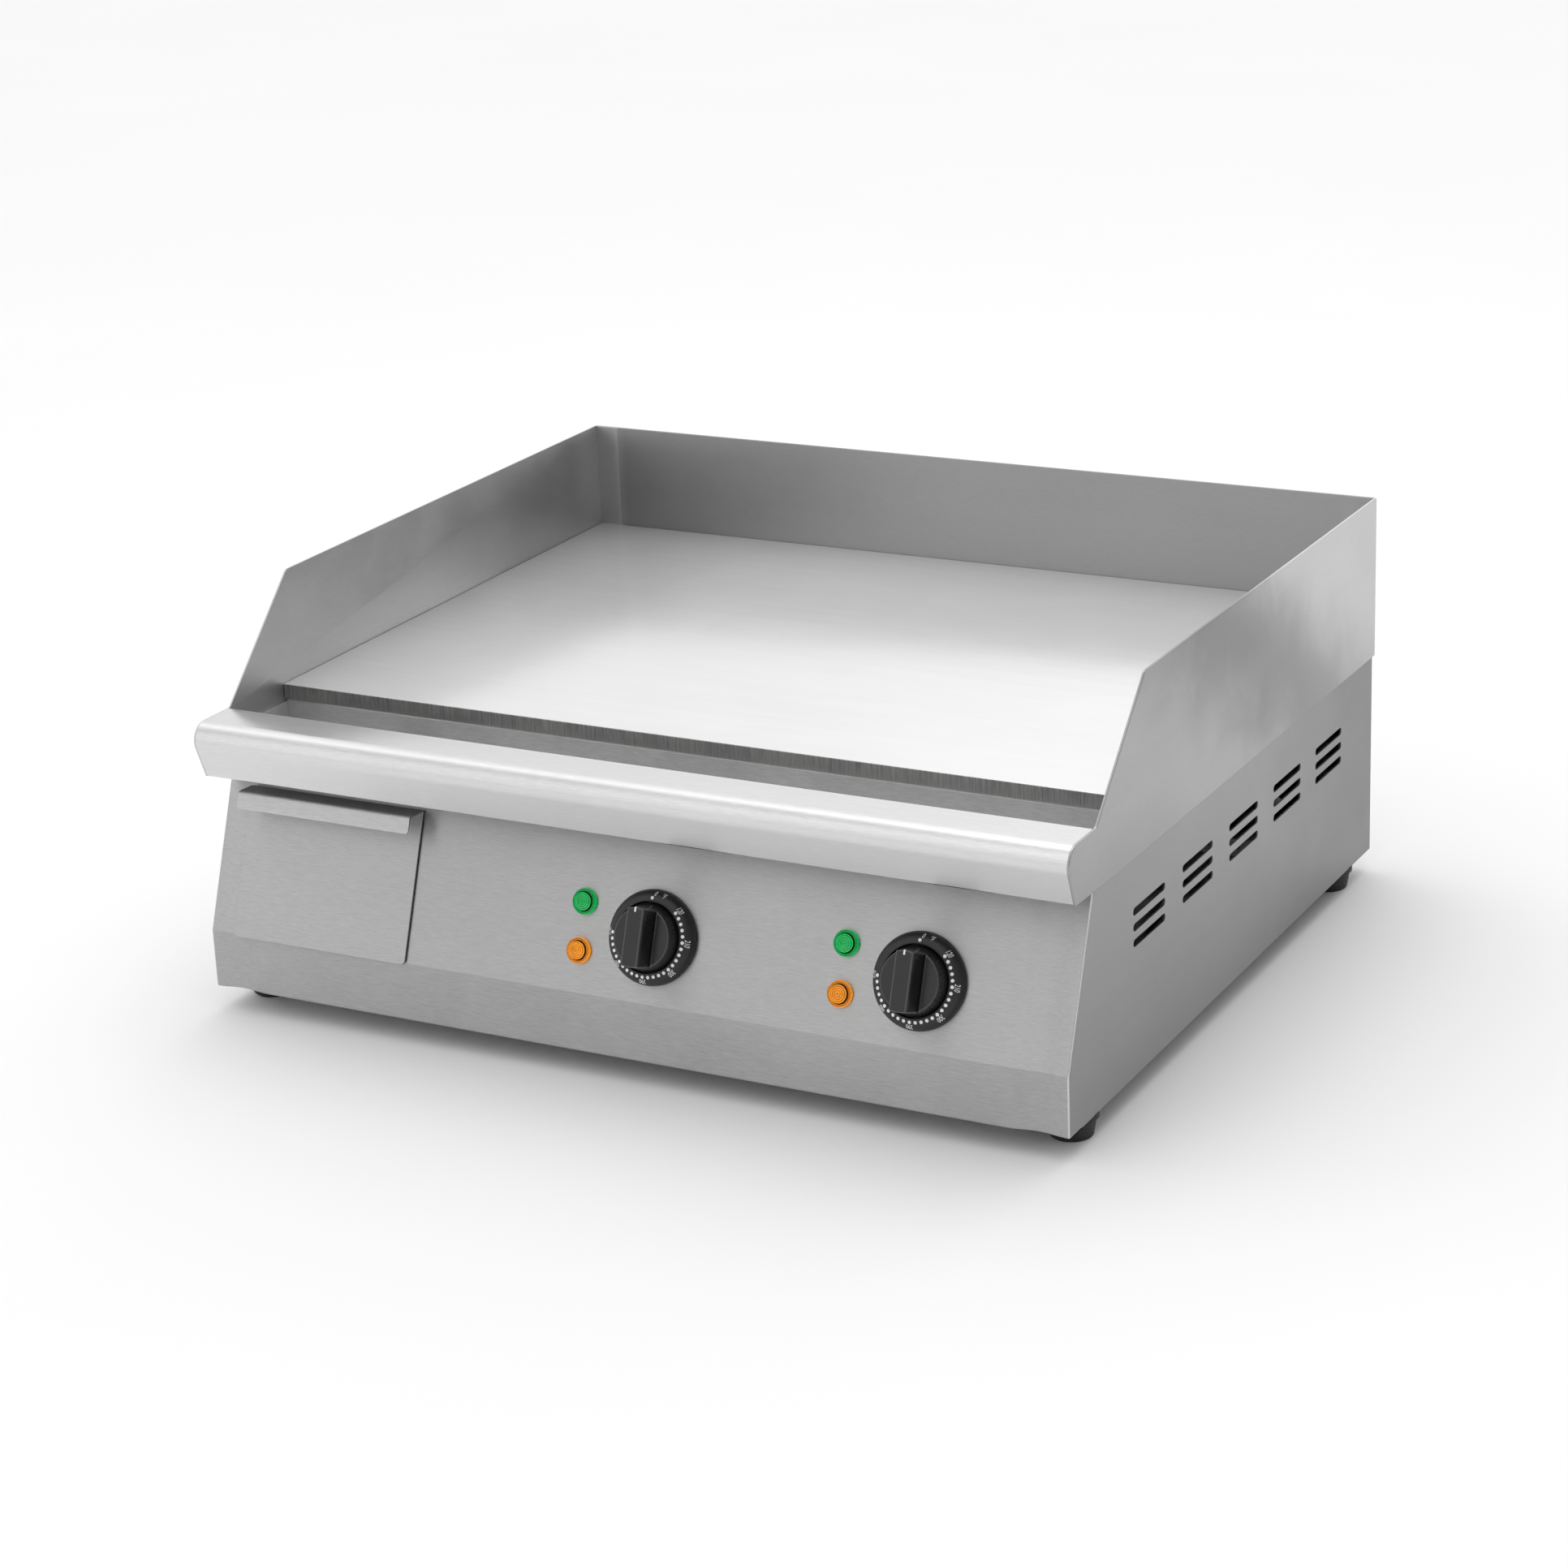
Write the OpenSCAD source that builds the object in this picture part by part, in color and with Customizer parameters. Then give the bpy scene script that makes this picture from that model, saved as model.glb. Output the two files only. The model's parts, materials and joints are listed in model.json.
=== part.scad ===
// Countertop electric griddle: bent stainless casing, steel plate, two heated zones, grease drawer.
// +X is to the user's right, -Y is the user's side, +Z is up. Z = 0 is the table.
// Every module is drawn with Y = 0 at the lower front face, and front_y moves the whole to the middle.

/* [Casing] */
// Width over the splash guard
casing_w = 600; // [590:1:620]
// Depth from the lower front face to the back of the splash guard
casing_d = 509; // [500:1:530]
// Height of the splash guard's top edge
splash_top = 263; // [255:1:285]
// Distance from the front face to the top of the sloping front corner of the splash guard
slope_top_y = 113.5; // [106:0.5:125]
// Height of the lower edge of the splash guard's side skirts
skirt_z = 153.5; // [152:0.5:155]
// Thickness of the splash guard and ledge sheet
guard_sheet = 1.5; // [1.2:0.1:1.6]
// Thickness of the body sheets
body_sheet = 1.2; // [1:0.1:1.4]
// Height of the space under the casing
floor_gap = 15.5; // [14:0.5:18]

/* [Front] */
// Lean of the control panel from upright, in degrees
panel_lean = 20.7; // [19:0.1:22]
// Height of the bend between the upright and the leaning part of the panel
bend_z = 54.5; // [53:0.5:56]
// Height of the flat ledge in front of the trough
ledge_z = 191.5; // [190.5:0.5:193]
// Distance from the front face to the ledge's back edge
ledge_back_y = 41; // [40:0.5:43]
// Distance from the front face to the ledge's lower front edge
ledge_face_y = 10.9; // [10:0.1:12]
// Height of the ledge's lower edge
ledge_bottom_z = 155; // [154.5:0.5:156]
// Radius of the rolled nose of the ledge
nose_r = 11.5; // [10:0.5:12]

/* [Cooking plate] */
// Thickness of the cooking plate
plate_t = 10; // [8:1:10]
// Height of the cooking surface
plate_top = 189.5; // [189:0.5:191]
// Distance from the front face to the plate's front edge
plate_front_y = 99; // [98:0.5:101]

/* [Controls] */
// Sideways place of the left knob
left_knob_x = 21.5; // [15:0.5:25]
// Spacing between the two sets of controls
control_pitch = 178; // [170:1:185]
// Distance from a knob back to its pair of lamps
lamp_offset = 50; // [46:0.5:52]
// Distance up the panel from the bend to the middle of the control row
control_s = 40.6; // [38:0.2:42]
// Distance up or down from the middle of the row to a lamp
lamp_rise = 15; // [12:0.5:16]
// Radius of the printed dial ring
dial_r = 29.2; // [28:0.2:30]
// Height of the knob's grip above the panel
knob_top = 27.5; // [25:0.5:29]

/* [Drawer] */
// Width of the drawer front
drawer_w = 129.5; // [126:0.5:131]
// Gap from the left body side to the drawer front
drawer_inset = 18.5; // [17:0.5:20]
// Depth of the grease drawer's tray
tray_d = 330; // [280:5:350]
// Width of the grease drawer's tray
tray_w = 118; // [110:1:120]
// Height of the grease drawer's tray
tray_h = 60; // [50:1:60]

/* [Side vents] */
// Number of vent groups on each side
vent_groups = 5; // [3:1:5]
// Number of slots in a group
vent_slots = 3; // [2:1:4]
// Width of one slot along the side
vent_w = 48.5; // [40:0.5:50]
// Height of one slot
vent_h = 5; // [4:0.5:5.5]
// Height of the middle of the top slots
vent_z = 119.6; // [110:0.2:125]

/* [Hidden] */
$fn = 48;

// Clear gap left between separate solids whose faces would otherwise meet
gap = 0.3;
// Points along each rounded corner of an outline
arc_steps = 8;

// Colours
steel = [0.72, 0.73, 0.74];
bright_steel = [0.82, 0.83, 0.84];
black = [0.08, 0.08, 0.09];
green = [0.05, 0.55, 0.25];
amber = [0.95, 0.5, 0.08];
brass = [0.8, 0.65, 0.3];
ceramic = [0.9, 0.88, 0.82];
copper = [0.72, 0.45, 0.3];
red = [0.75, 0.1, 0.08];

// Casing places
half_w = casing_w / 2;
body_half_w = half_w - guard_sheet;
rear_y = casing_d - guard_sheet;
panel_half_w = body_half_w - body_sheet;
bottom_z = floor_gap;
base_z = bottom_z + body_sheet;
inside_z = base_z + body_sheet;
plate_under = plate_top - plate_t;
rim_z = plate_under - gap;
flange_w = 30;
nose_corner_y = ledge_face_y - (ledge_z - ledge_bottom_z) * tan(panel_lean);
panel_top_z = 150;
panel_top_y = (panel_top_z - bend_z) * tan(panel_lean);

// Trough places
trough_front_y = 38.2;
trough_back_y = plate_front_y + 3;
trough_floor_z = 151.5;
trough_sheet = 1.2;
drain_x = -215;
drain_y = 70;
drain_r = 16;

// Drawer places
drawer_x = -body_half_w + drawer_inset + drawer_w / 2;
drawer_low_s = -1.3;
drawer_high_s = 96;
drawer_flange_d = 16.5;
drawer_lip = 11;
drawer_gap = 0.5;
drawer_sheet = 1.2;
tray_z = 61;
tray_sheet = 1;
drawer_hole_low_s = 4;
drawer_hole_high_s = (tray_z + tray_h + 4 - bend_z) / cos(panel_lean);

// Control places
right_knob_x = left_knob_x + control_pitch;
ring_h = 8.6;
ring_bore_r = 21.7;
knob_base_r = 20.8;
knob_face_r = 18.9;
knob_face_h = 16.3;
knob_low_h = 2.6;
grip_w = 11;
grip_top_w = 10.4;
shaft_r = 3;
shaft_flat = 1.5;
shaft_top_h = 14;
thermostat_depth = 38;
lens_r = 8.15;

// Rear fittings
gland_x = 235;
gland_z = 44;
gland_r = 10;
gland_reach = 20;
earth_x = 190;
earth_z = 38;
cutout_x = [-60, 60];
cutout_z = 60;
side_screw_z = [26, 140];
rear_screws = [[body_half_w - 15, side_screw_z[0]], [body_half_w - 15, side_screw_z[1]], [90, 26]];
foot_x = body_half_w - 16;
vent_y = 120;
vent_pitch = 76;
vent_step = 9.9;
foot_y = [39, rear_y - 39];
foot_top_r = 16.5;
foot_low_r = 13.2;

// The knob's lowest grip corner is the front of the whole object, the gland is its back
grip_end_r = 18.4;
grip_round = 1.2;
knob_front = knob_top * cos(panel_lean) - (control_s - grip_end_r + grip_round) * sin(panel_lean);
back_reach = rear_y + gland_reach - casing_d;
front_y = (knob_front - casing_d - back_reach) / 2;

// Element places
element_x = [-149, 149];
element_r = 4.2;
element_legs = 6;
element_pitch = 44;
element_front_y = 150;
element_rear_y = 462;
element_tail = 31;
element_z = plate_under - element_r - 0.2;
clamp_t = 4;
clamp_w = 20;
clamp_y = [185, 306, 427];
clamp_z = element_z - element_r - 0.2 - clamp_t;
stud_r = 4;
stud_x = [-237, -105, 0, 105, 237];
pan_z = 141;
pan_front_y = trough_back_y + 8;
channel_y = element_front_y - 22;
blanket_z = [pan_z + 1.5, clamp_z - 9];
bulb_y = [215, 300];

function unit(v) = v / norm(v);
function turned(v, a) = [cos(a) * v.x - sin(a) * v.y, sin(a) * v.x + cos(a) * v.y];

// Points of the arc of radius r that rounds the corner at b between a and c
function corner_arc(a, b, c, r) =
    let (u = unit(a - b), v = unit(c - b), half = acos(u * v) / 2)
    let (centre = b + unit(u + v) * r / sin(half))
    let (p = b + u * r / tan(half) - centre, q = b + v * r / tan(half) - centre)
    let (sweep = atan2(p.x * q.y - p.y * q.x, p * q))
    [for (i = [0:arc_steps]) centre + turned(p, sweep * i / arc_steps)];

// A closed outline from corners given as [x, y, corner radius]
function rounded(c) =
    [for (i = [0:len(c) - 1]) each c[i].z == 0 ? [[c[i].x, c[i].y]] : corner_arc(
        [for (k = [0, 1]) c[(i + len(c) - 1) % len(c)][k]], [c[i].x, c[i].y],
        [for (k = [0, 1]) c[(i + 1) % len(c)][k]], c[i].z)];

// The section of a bent sheet: the path of one face, its bends, and the thickness to the left of it
function bent_sheet(c, t) =
    let (face = rounded(c), last = len(face) - 1)
    let (n = [for (i = [0:last - 1]) turned(unit(face[i + 1] - face[i]), 90)])
    let (other = [for (i = [0:last]) let (a = n[max(i - 1, 0)], b = n[min(i, last - 1)])
        face[i] + t * (a + b) / (1 + a * b)])
    concat(face, [for (i = [last:-1:0]) other[i]]);

// An outline drawn in Y and Z, carried along X
module along_x(x0, x1, outline) {
    translate([x0, 0, 0]) rotate([90, 0, 90]) linear_extrude(x1 - x0) polygon(outline);
}

// An outline drawn in X and Z, carried along Y
module along_y(y0, y1, outline) {
    translate([0, y1, 0]) rotate([90, 0, 0]) linear_extrude(y1 - y0) polygon(outline);
}

// A box between two corners
module block(low, high) {
    translate(low) cube(high - low);
}

// The panel's own axes: x across, y up the panel from the bend, z out towards the user
module on_panel(x, s) {
    translate([x, s * sin(panel_lean), bend_z + s * cos(panel_lean)]) rotate([90 - panel_lean, 0, 0])
        children();
}

// A cylinder standing on a wall and pointing along +Y
module rod_y(x, y0, y1, z, r) {
    translate([x, y0, z]) rotate([-90, 0, 0]) cylinder(h = y1 - y0, r = r);
}

// Outline of a slot with round ends, its middle at the origin
module slot_outline(length, height) {
    square([length - height, height], center = true);
    for (k = [-1, 1]) translate([k * (length - height) / 2, 0]) circle(d = height);
}

// A hexagonal nut with its hole, standing on z = 0
module nut(across, h, hole_r) {
    difference() {
        cylinder(h = h, d = across / cos(30), $fn = 6);
        translate([0, 0, -1]) cylinder(h = h + 2, r = hole_r);
    }
}

// A pan head screw: its head on z = 0, its shank going down
module pan_screw(r, length) {
    difference() {
        union() {
            rotate_extrude() polygon(concat([[0, 0], [2 * r, 0]],
                [for (a = [0:15:75]) [2 * r * cos(a) * 0.98, 0.4 * r + 0.8 * r * sin(a)]],
                [[0, 1.2 * r]]));
            translate([0, 0, -length]) cylinder(h = length + 0.1, r = r);
        }
        for (a = [0, 90]) rotate([0, 0, a]) translate([-1.2 * r, -0.18 * r, 0.5 * r])
            cube([2.4 * r, 0.36 * r, r]);
    }
}

// Points of a smooth curve through a route, several for each stretch of it
function curve_point(a, b, c, d, t) = 0.5 * (2 * b + (c - a) * t + (2 * a - 5 * b + 4 * c - d) * t * t
    + (3 * b - a - 3 * c + d) * t * t * t);
function curve(p, steps) = let (last = len(p) - 1) concat(
    [for (i = [0:last - 1], k = [0:steps - 1]) curve_point(p[max(i - 1, 0)], p[i], p[i + 1],
        p[min(i + 2, last)], k / steps)], [p[last]]);
function directions(p) = [for (i = [0:len(p) - 1])
    unit(p[min(i + 1, len(p) - 1)] - p[max(i - 1, 0)])];
// Side vectors carried along the route without twisting
function carried(d, i, side) = i == len(d) ? [] :
    let (s = unit(side - (side * d[i]) * d[i])) concat([s], carried(d, i + 1, s));

// A round tube of radius r swept along a route's own points
module swept(route, r, steps = 4, sides = 8) {
    p = curve(route, steps);
    d = directions(p);
    s = carried(d, 0, [0.31, 0.52, 0.79]);
    rings = len(p);
    points = [for (i = [0:rings - 1], k = [0:sides - 1]) let (a = 360 * k / sides)
        p[i] + r * (cos(a) * s[i] + sin(a) * cross(d[i], s[i]))];
    walls = [for (i = [0:rings - 2], k = [0:sides - 1]) let (n = (k + 1) % sides)
        [i * sides + k, (i + 1) * sides + k, (i + 1) * sides + n, i * sides + n]];
    caps = [[for (k = [0:sides - 1]) k], [for (k = [sides - 1:-1:0]) (rings - 1) * sides + k]];
    polyhedron(points, concat(walls, caps), convexity = 8);
}

// Outline of the side wall: splash guard above, rolled ledge end in front, skirt below
side_wall_outline = rounded([
    [casing_d, skirt_z, 0],
    [casing_d, splash_top, 1.5],
    [slope_top_y, splash_top, 5],
    [ledge_back_y, ledge_z, 4],
    [nose_corner_y, ledge_z, nose_r],
    [ledge_face_y, ledge_bottom_z, 0],
    [ledge_face_y + 45, skirt_z, 0]]);

module splash_guard() {
    color(bright_steel) translate([0, front_y, 0]) {
        along_x(-half_w, -body_half_w, side_wall_outline);
        along_x(body_half_w, half_w, side_wall_outline);
        block([-body_half_w - 0.01, rear_y, skirt_z], [body_half_w + 0.01, casing_d, splash_top]);
    }
}

module front_ledge() {
    color(bright_steel) translate([0, front_y, 0])
        along_x(-body_half_w, body_half_w, bent_sheet([
            [ledge_back_y, ledge_z - 12, 0],
            [ledge_back_y, ledge_z, 2.2],
            [nose_corner_y, ledge_z, nose_r],
            [ledge_face_y, ledge_bottom_z, 2],
            [trough_front_y - 1.6, ledge_bottom_z, 0]], guard_sheet));
}

// Outline of a body side, with its front edge just behind the control panel
function body_side_outline() =
    let (top_z = panel_top_z - body_sheet - 0.1)
    [[body_sheet, base_z + 0.05],
    [body_sheet, bend_z - body_sheet * tan(panel_lean / 2)],
    [(top_z - bend_z) * tan(panel_lean) + body_sheet / cos(panel_lean), top_z],
    [trough_back_y + 7, top_z],
    [trough_back_y + 7, rim_z],
    [rear_y, rim_z],
    [rear_y, bottom_z],
    [18.2, bottom_z],
    [18.2, base_z + 0.05]];

// Groups of slots with round ends, one above another, cut through a side
module side_vents() {
    for (g = [0:vent_groups - 1], k = [0:vent_slots - 1])
        translate([0, vent_y + g * vent_pitch, vent_z - k * vent_step]) rotate([90, 0, 90])
            linear_extrude(20, center = true) slot_outline(vent_w, vent_h);
}

module side_panel(hand) {
    mirror([hand < 0 ? 1 : 0, 0, 0]) {
        difference() {
            along_x(panel_half_w, body_half_w, body_side_outline());
            translate([body_half_w, 0, 0]) side_vents();
        }
        // Bottom flange for the base, top flange under the plate, rear flange behind the rear panel
        difference() {
            block([body_half_w - flange_w, 20, bottom_z], [panel_half_w + 0.01, rear_y - 32, base_z]);
            for (y = foot_y) translate([foot_x, y, bottom_z - 1]) cylinder(h = 4, r = 3.3);
        }
        block([body_half_w - 14, trough_back_y + 7, rim_z - body_sheet],
            [panel_half_w + 0.01, rear_y - 2, rim_z]);
        difference() {
            block([body_half_w - flange_w, rear_y - 2 * body_sheet - 0.1, 21],
                [panel_half_w + 0.01, rear_y - body_sheet - 0.1, 172]);
            for (z = side_screw_z) rod_y(rear_screws[0].x, rear_y - 5, rear_y, z, 1.95);
        }
    }
}

module left_side_panel() {
    color(steel) translate([0, front_y, 0]) side_panel(-1);
}

module right_side_panel() {
    color(steel) translate([0, front_y, 0]) side_panel(1);
}

module control_panel() {
    color(steel) translate([0, front_y, 0]) difference() {
        along_x(-body_half_w, body_half_w, bent_sheet([
            [panel_top_y + 12, panel_top_z, 0],
            [panel_top_y, panel_top_z, 2],
            [0, bend_z, 2],
            [0, bottom_z, 1.6],
            [18, bottom_z, 0]], body_sheet));
        // Openings for the drawer, the thermostats with their screws, and the lamps
        on_panel(drawer_x, 0) block([-tray_w / 2 - 2, drawer_hole_low_s, -4],
            [tray_w / 2 + 2, drawer_hole_high_s, 4]);
        for (x = [left_knob_x, right_knob_x]) {
            on_panel(x, control_s) {
                translate([0, 0, -4]) cylinder(h = 8, r = 5.5);
                for (k = [-1, 1]) translate([14 * k, 0, -4]) cylinder(h = 8, r = 2.2);
            }
            for (k = [-1, 1]) on_panel(x - lamp_offset, control_s + k * lamp_rise)
                translate([0, 0, -4]) cylinder(h = 8, r = 6.3);
        }
    }
}

module rear_panel() {
    slots = 9;
    color(steel) translate([0, front_y, 0]) difference() {
        union() {
            block([-panel_half_w, rear_y - body_sheet, bottom_z], [panel_half_w, rear_y, rim_z - 2]);
            block([-panel_half_w, rear_y - 30, bottom_z], [panel_half_w, rear_y, base_z]);
        }
        rod_y(gland_x, rear_y - 5, rear_y + 5, gland_z, gland_r + 0.2);
        rod_y(earth_x, rear_y - 5, rear_y + 5, earth_z, 3.2);
        for (x = cutout_x) rod_y(x, rear_y - 5, rear_y + 5, cutout_z, 5.2);
        for (s = rear_screws, k = [-1, 1]) rod_y(k * s.x, rear_y - 5, rear_y + 5, s[1], 2.2);
        for (i = [0:slots - 1]) translate([-250 + i * 20, rear_y - 5, 95]) cube([5, 10, 40]);
        for (i = [0:slots - 1]) translate([90 + i * 20, rear_y - 5, 95]) cube([5, 10, 40]);
        for (x = foot_x * [-1, 1]) translate([x, foot_y[1], bottom_z - 1]) cylinder(h = 4, r = 3.3);
    }
}

module base_plate() {
    color(steel) translate([0, front_y, 0]) difference() {
        union() {
            block([-panel_half_w + gap, body_sheet + 2, base_z],
                [panel_half_w - gap, rear_y - 3 * body_sheet, inside_z]);
            block([-150, rear_y - 2 * body_sheet - 0.1, base_z], [150, rear_y - body_sheet - 0.1, 34]);
            block([-150, rear_y - 4 * body_sheet, base_z], [150, rear_y - body_sheet - 0.1, inside_z]);
        }
        for (k = [-1, 1]) rod_y(k * rear_screws[2].x, rear_y - 5, rear_y, rear_screws[2][1], 1.95);
        for (x = foot_x * [-1, 1], y = foot_y) translate([x, y, base_z - 1]) cylinder(h = 4, r = 3.2);
        for (row = [0:1], i = [0:9]) translate([-80 + i * 30, 130 + row * 180, base_z - 1])
            cube([6, 90, 4]);
    }
}

module foot(x, y) {
    color(black) translate([x, front_y + y, 0]) rotate_extrude() polygon([
        [5.5, 0], [foot_low_r - 1, 0], [foot_low_r, 1], [foot_top_r - 1.5, bottom_z - 4],
        [foot_top_r, bottom_z - 3.2], [foot_top_r, bottom_z], [3.2, bottom_z], [3.2, 5], [5.5, 5]]);
}

module front_left_foot() {
    foot(-foot_x, foot_y[0]);
}

module front_right_foot() {
    foot(foot_x, foot_y[0]);
}

module rear_left_foot() {
    foot(-foot_x, foot_y[1]);
}

module rear_right_foot() {
    foot(foot_x, foot_y[1]);
}

// Screws up through the feet, each with its nut on the base plate
module foot_screws() {
    color(bright_steel) translate([0, front_y, 0])
        for (x = foot_x * [-1, 1], y = foot_y) translate([x, y, 0]) {
            translate([0, 0, 1.6]) cylinder(h = 3.4, r = 5);
            translate([0, 0, 4.9]) cylinder(h = inside_z + 2.5, r = 2.9);
            translate([0, 0, inside_z + 0.05]) cylinder(h = 4.5, d = 10 / cos(30), $fn = 6);
        }
}

module griddle_plate() {
    color(bright_steel) translate([0, front_y, 0]) {
        block([-body_half_w + gap, plate_front_y, plate_under],
            [body_half_w - gap, rear_y - gap, plate_top]);
        // Studs welded to the underside for the heater clamps
        for (x = stud_x, y = clamp_y) translate([x, y, clamp_z - 8])
            cylinder(h = plate_under - clamp_z + 8.01, r = stud_r);
    }
}

module grease_trough() {
    end_x = body_half_w - gap;
    color(bright_steel) translate([0, front_y, 0]) difference() {
        union() {
            along_x(-end_x, end_x, bent_sheet([
                [trough_front_y, ledge_z - guard_sheet - 1.2, 0],
                [trough_front_y, trough_floor_z - trough_sheet, 3],
                [trough_back_y, trough_floor_z - trough_sheet, 3],
                [trough_back_y, rim_z - trough_sheet, 0.5],
                [trough_back_y + 6, rim_z - trough_sheet, 0]], trough_sheet));
            for (k = [-1, 1]) along_x(k > 0 ? end_x - trough_sheet : -end_x,
                k > 0 ? end_x : -end_x + trough_sheet, rounded([
                    [trough_front_y, plate_under - 2, 0],
                    [trough_front_y, trough_floor_z - trough_sheet, 3],
                    [trough_back_y, trough_floor_z - trough_sheet, 3],
                    [trough_back_y, plate_under - 2, 0]]));
        }
        translate([drain_x, drain_y, trough_floor_z - 5]) cylinder(h = 10, r = drain_r);
    }
}

// Short tube under the trough's drain hole, over the drawer's tray
module drain_spout() {
    top = trough_floor_z - trough_sheet;
    color(bright_steel) translate([drain_x, front_y + drain_y, 0]) rotate_extrude() polygon([
        [drain_r, top - 16], [drain_r + 1.2, top - 16], [drain_r + 1.2, top - 1.2],
        [drain_r + 5, top - 1.2], [drain_r + 5, top], [drain_r, top]]);
}

// One tubular heater: straight legs joined by half turns, with both ends turned down at the front
module heating_element(x) {
    half = (element_legs - 1) / 2;
    tail_r = 14;
    color([0.35, 0.33, 0.32]) translate([x, front_y, element_z]) {
        for (i = [0:element_legs - 1]) rod_y((i - half) * element_pitch, element_front_y,
            element_rear_y, 0, element_r);
        for (i = [0:element_legs - 2]) translate([(i - half + 0.5) * element_pitch,
            i % 2 == 0 ? element_rear_y : element_front_y, 0]) rotate([0, 0, i % 2 == 0 ? 0 : 180])
                rotate_extrude(angle = 180) translate([element_pitch / 2, 0]) circle(r = element_r);
        for (k = [-1, 1]) translate([k * half * element_pitch, element_front_y, -tail_r]) {
            rotate([180, -90, 0]) rotate_extrude(angle = 90) translate([tail_r, 0])
                circle(r = element_r);
            translate([0, -tail_r, -22]) cylinder(h = 22, r = element_r);
            translate([0, -tail_r, -element_tail]) cylinder(h = 10, r = 1.6);
        }
    }
}

module left_heating_element() {
    heating_element(element_x[0]);
}

module right_heating_element() {
    heating_element(element_x[1]);
}

// Flat bars that press the heaters against the plate
module element_clamps() {
    color(steel) translate([0, front_y, 0]) for (y = clamp_y) difference() {
        block([-278, y - clamp_w / 2, clamp_z], [278, y + clamp_w / 2, clamp_z + clamp_t]);
        for (x = stud_x) translate([x, y, clamp_z - 1]) cylinder(h = clamp_t + 2, r = stud_r + 0.4);
    }
}

module clamp_nuts() {
    color(bright_steel) translate([0, front_y, 0]) for (x = stud_x, y = clamp_y)
        translate([x, y, clamp_z - 6.55]) nut(13, 6.5, stud_r + 0.03);
}

module insulation_blanket() {
    color([0.93, 0.92, 0.88]) translate([0, front_y, 0]) difference() {
        block([-276, element_front_y + 4, blanket_z[0]], [276, rear_y - 22, blanket_z[1]]);
        for (x = stud_x, y = clamp_y) translate([x, y, blanket_z[0] - 1])
            cylinder(h = blanket_z[1] - blanket_z[0] + 2, r = 9);
    }
}

// Pan that carries the blanket and keeps the heat away from the controls
module insulation_pan() {
    low = [-282, pan_front_y, pan_z];
    high = [282, rear_y - 16, rim_z - 6];
    color(steel) translate([0, front_y, 0]) difference() {
        block(low, high);
        block(low + [1, 1, 1], high + [-1, -1, 1]);
        // Clearance for the heater ends and the sensing tubes in the floor of the front channel
        for (x = element_x, k = [-1, 1]) translate([x + k * 2.5 * element_pitch, element_front_y - 14,
            pan_z - 1]) cylinder(h = 4, r = element_r + 1.5);
        for (x = element_x) translate([x, channel_y, pan_z - 1]) cylinder(h = 4, r = 4);
    }
}

// Fixed ring with the printed scale, rising from a thin edge towards the knob
module dial_ring(x) {
    color(black) translate([0, front_y, 0]) on_panel(x, control_s) difference() {
        rotate_extrude() polygon(concat(
            [[5.5, 0.1], [dial_r, 0.1], [dial_r, 1.4]],
            [for (a = [10:10:80]) [dial_r - 6.6 + 6.6 * cos(a), 1.4 + 7.2 * sin(a)]],
            [[ring_bore_r, ring_h], [ring_bore_r, 2.2], [5.5, 2.2]]));
        for (k = [-1, 1]) translate([14 * k, 0, -1]) cylinder(h = 5, r = 3.9);
    }
}

module left_dial_ring() {
    dial_ring(left_knob_x);
}

module right_dial_ring() {
    dial_ring(right_knob_x);
}

// Turned body with a raised bar to grip, bored for the flatted shaft
module knob(x) {
    color(black) translate([0, front_y, 0]) on_panel(x, control_s) difference() {
        union() {
            rotate_extrude() polygon([[0, knob_low_h], [knob_base_r - 0.8, knob_low_h],
                [knob_base_r, knob_low_h + 0.8], [knob_base_r, ring_h],
                [knob_face_r + 0.5, knob_face_h - 1], [knob_face_r - 0.3, knob_face_h],
                [0, knob_face_h]]);
            intersection() {
                along_y(-dial_r, dial_r, [[-grip_w / 2, knob_face_h - 1], [grip_w / 2, knob_face_h - 1],
                    [grip_top_w / 2, knob_top - grip_round], [grip_top_w / 2 - grip_round, knob_top],
                    [grip_round - grip_top_w / 2, knob_top], [-grip_top_w / 2, knob_top - grip_round]]);
                rotate_extrude() polygon([[0, 0], [grip_end_r + 0.3, 0],
                    [grip_end_r, knob_top - grip_round], [grip_end_r - grip_round, knob_top],
                    [0, knob_top]]);
            }
        }
        difference() {
            translate([0, 0, knob_low_h - 1])
                cylinder(h = shaft_top_h - knob_low_h + 1.3, r = shaft_r + 0.05);
            block([shaft_flat + 0.05, -5, 0], [5, 5, 30]);
        }
    }
}

module left_knob() {
    knob(left_knob_x);
}

module right_knob() {
    knob(right_knob_x);
}

// Round shaft with a flat where the knob grips it
module thermostat_shaft(x) {
    color(bright_steel) translate([0, front_y, 0]) on_panel(x, control_s) difference() {
        translate([0, 0, -12]) cylinder(h = shaft_top_h + 12, r = shaft_r);
        block([shaft_flat, -5, 1], [5, 5, 30]);
    }
}

module left_thermostat_shaft() {
    thermostat_shaft(left_knob_x);
}

module right_thermostat_shaft() {
    thermostat_shaft(right_knob_x);
}

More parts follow.
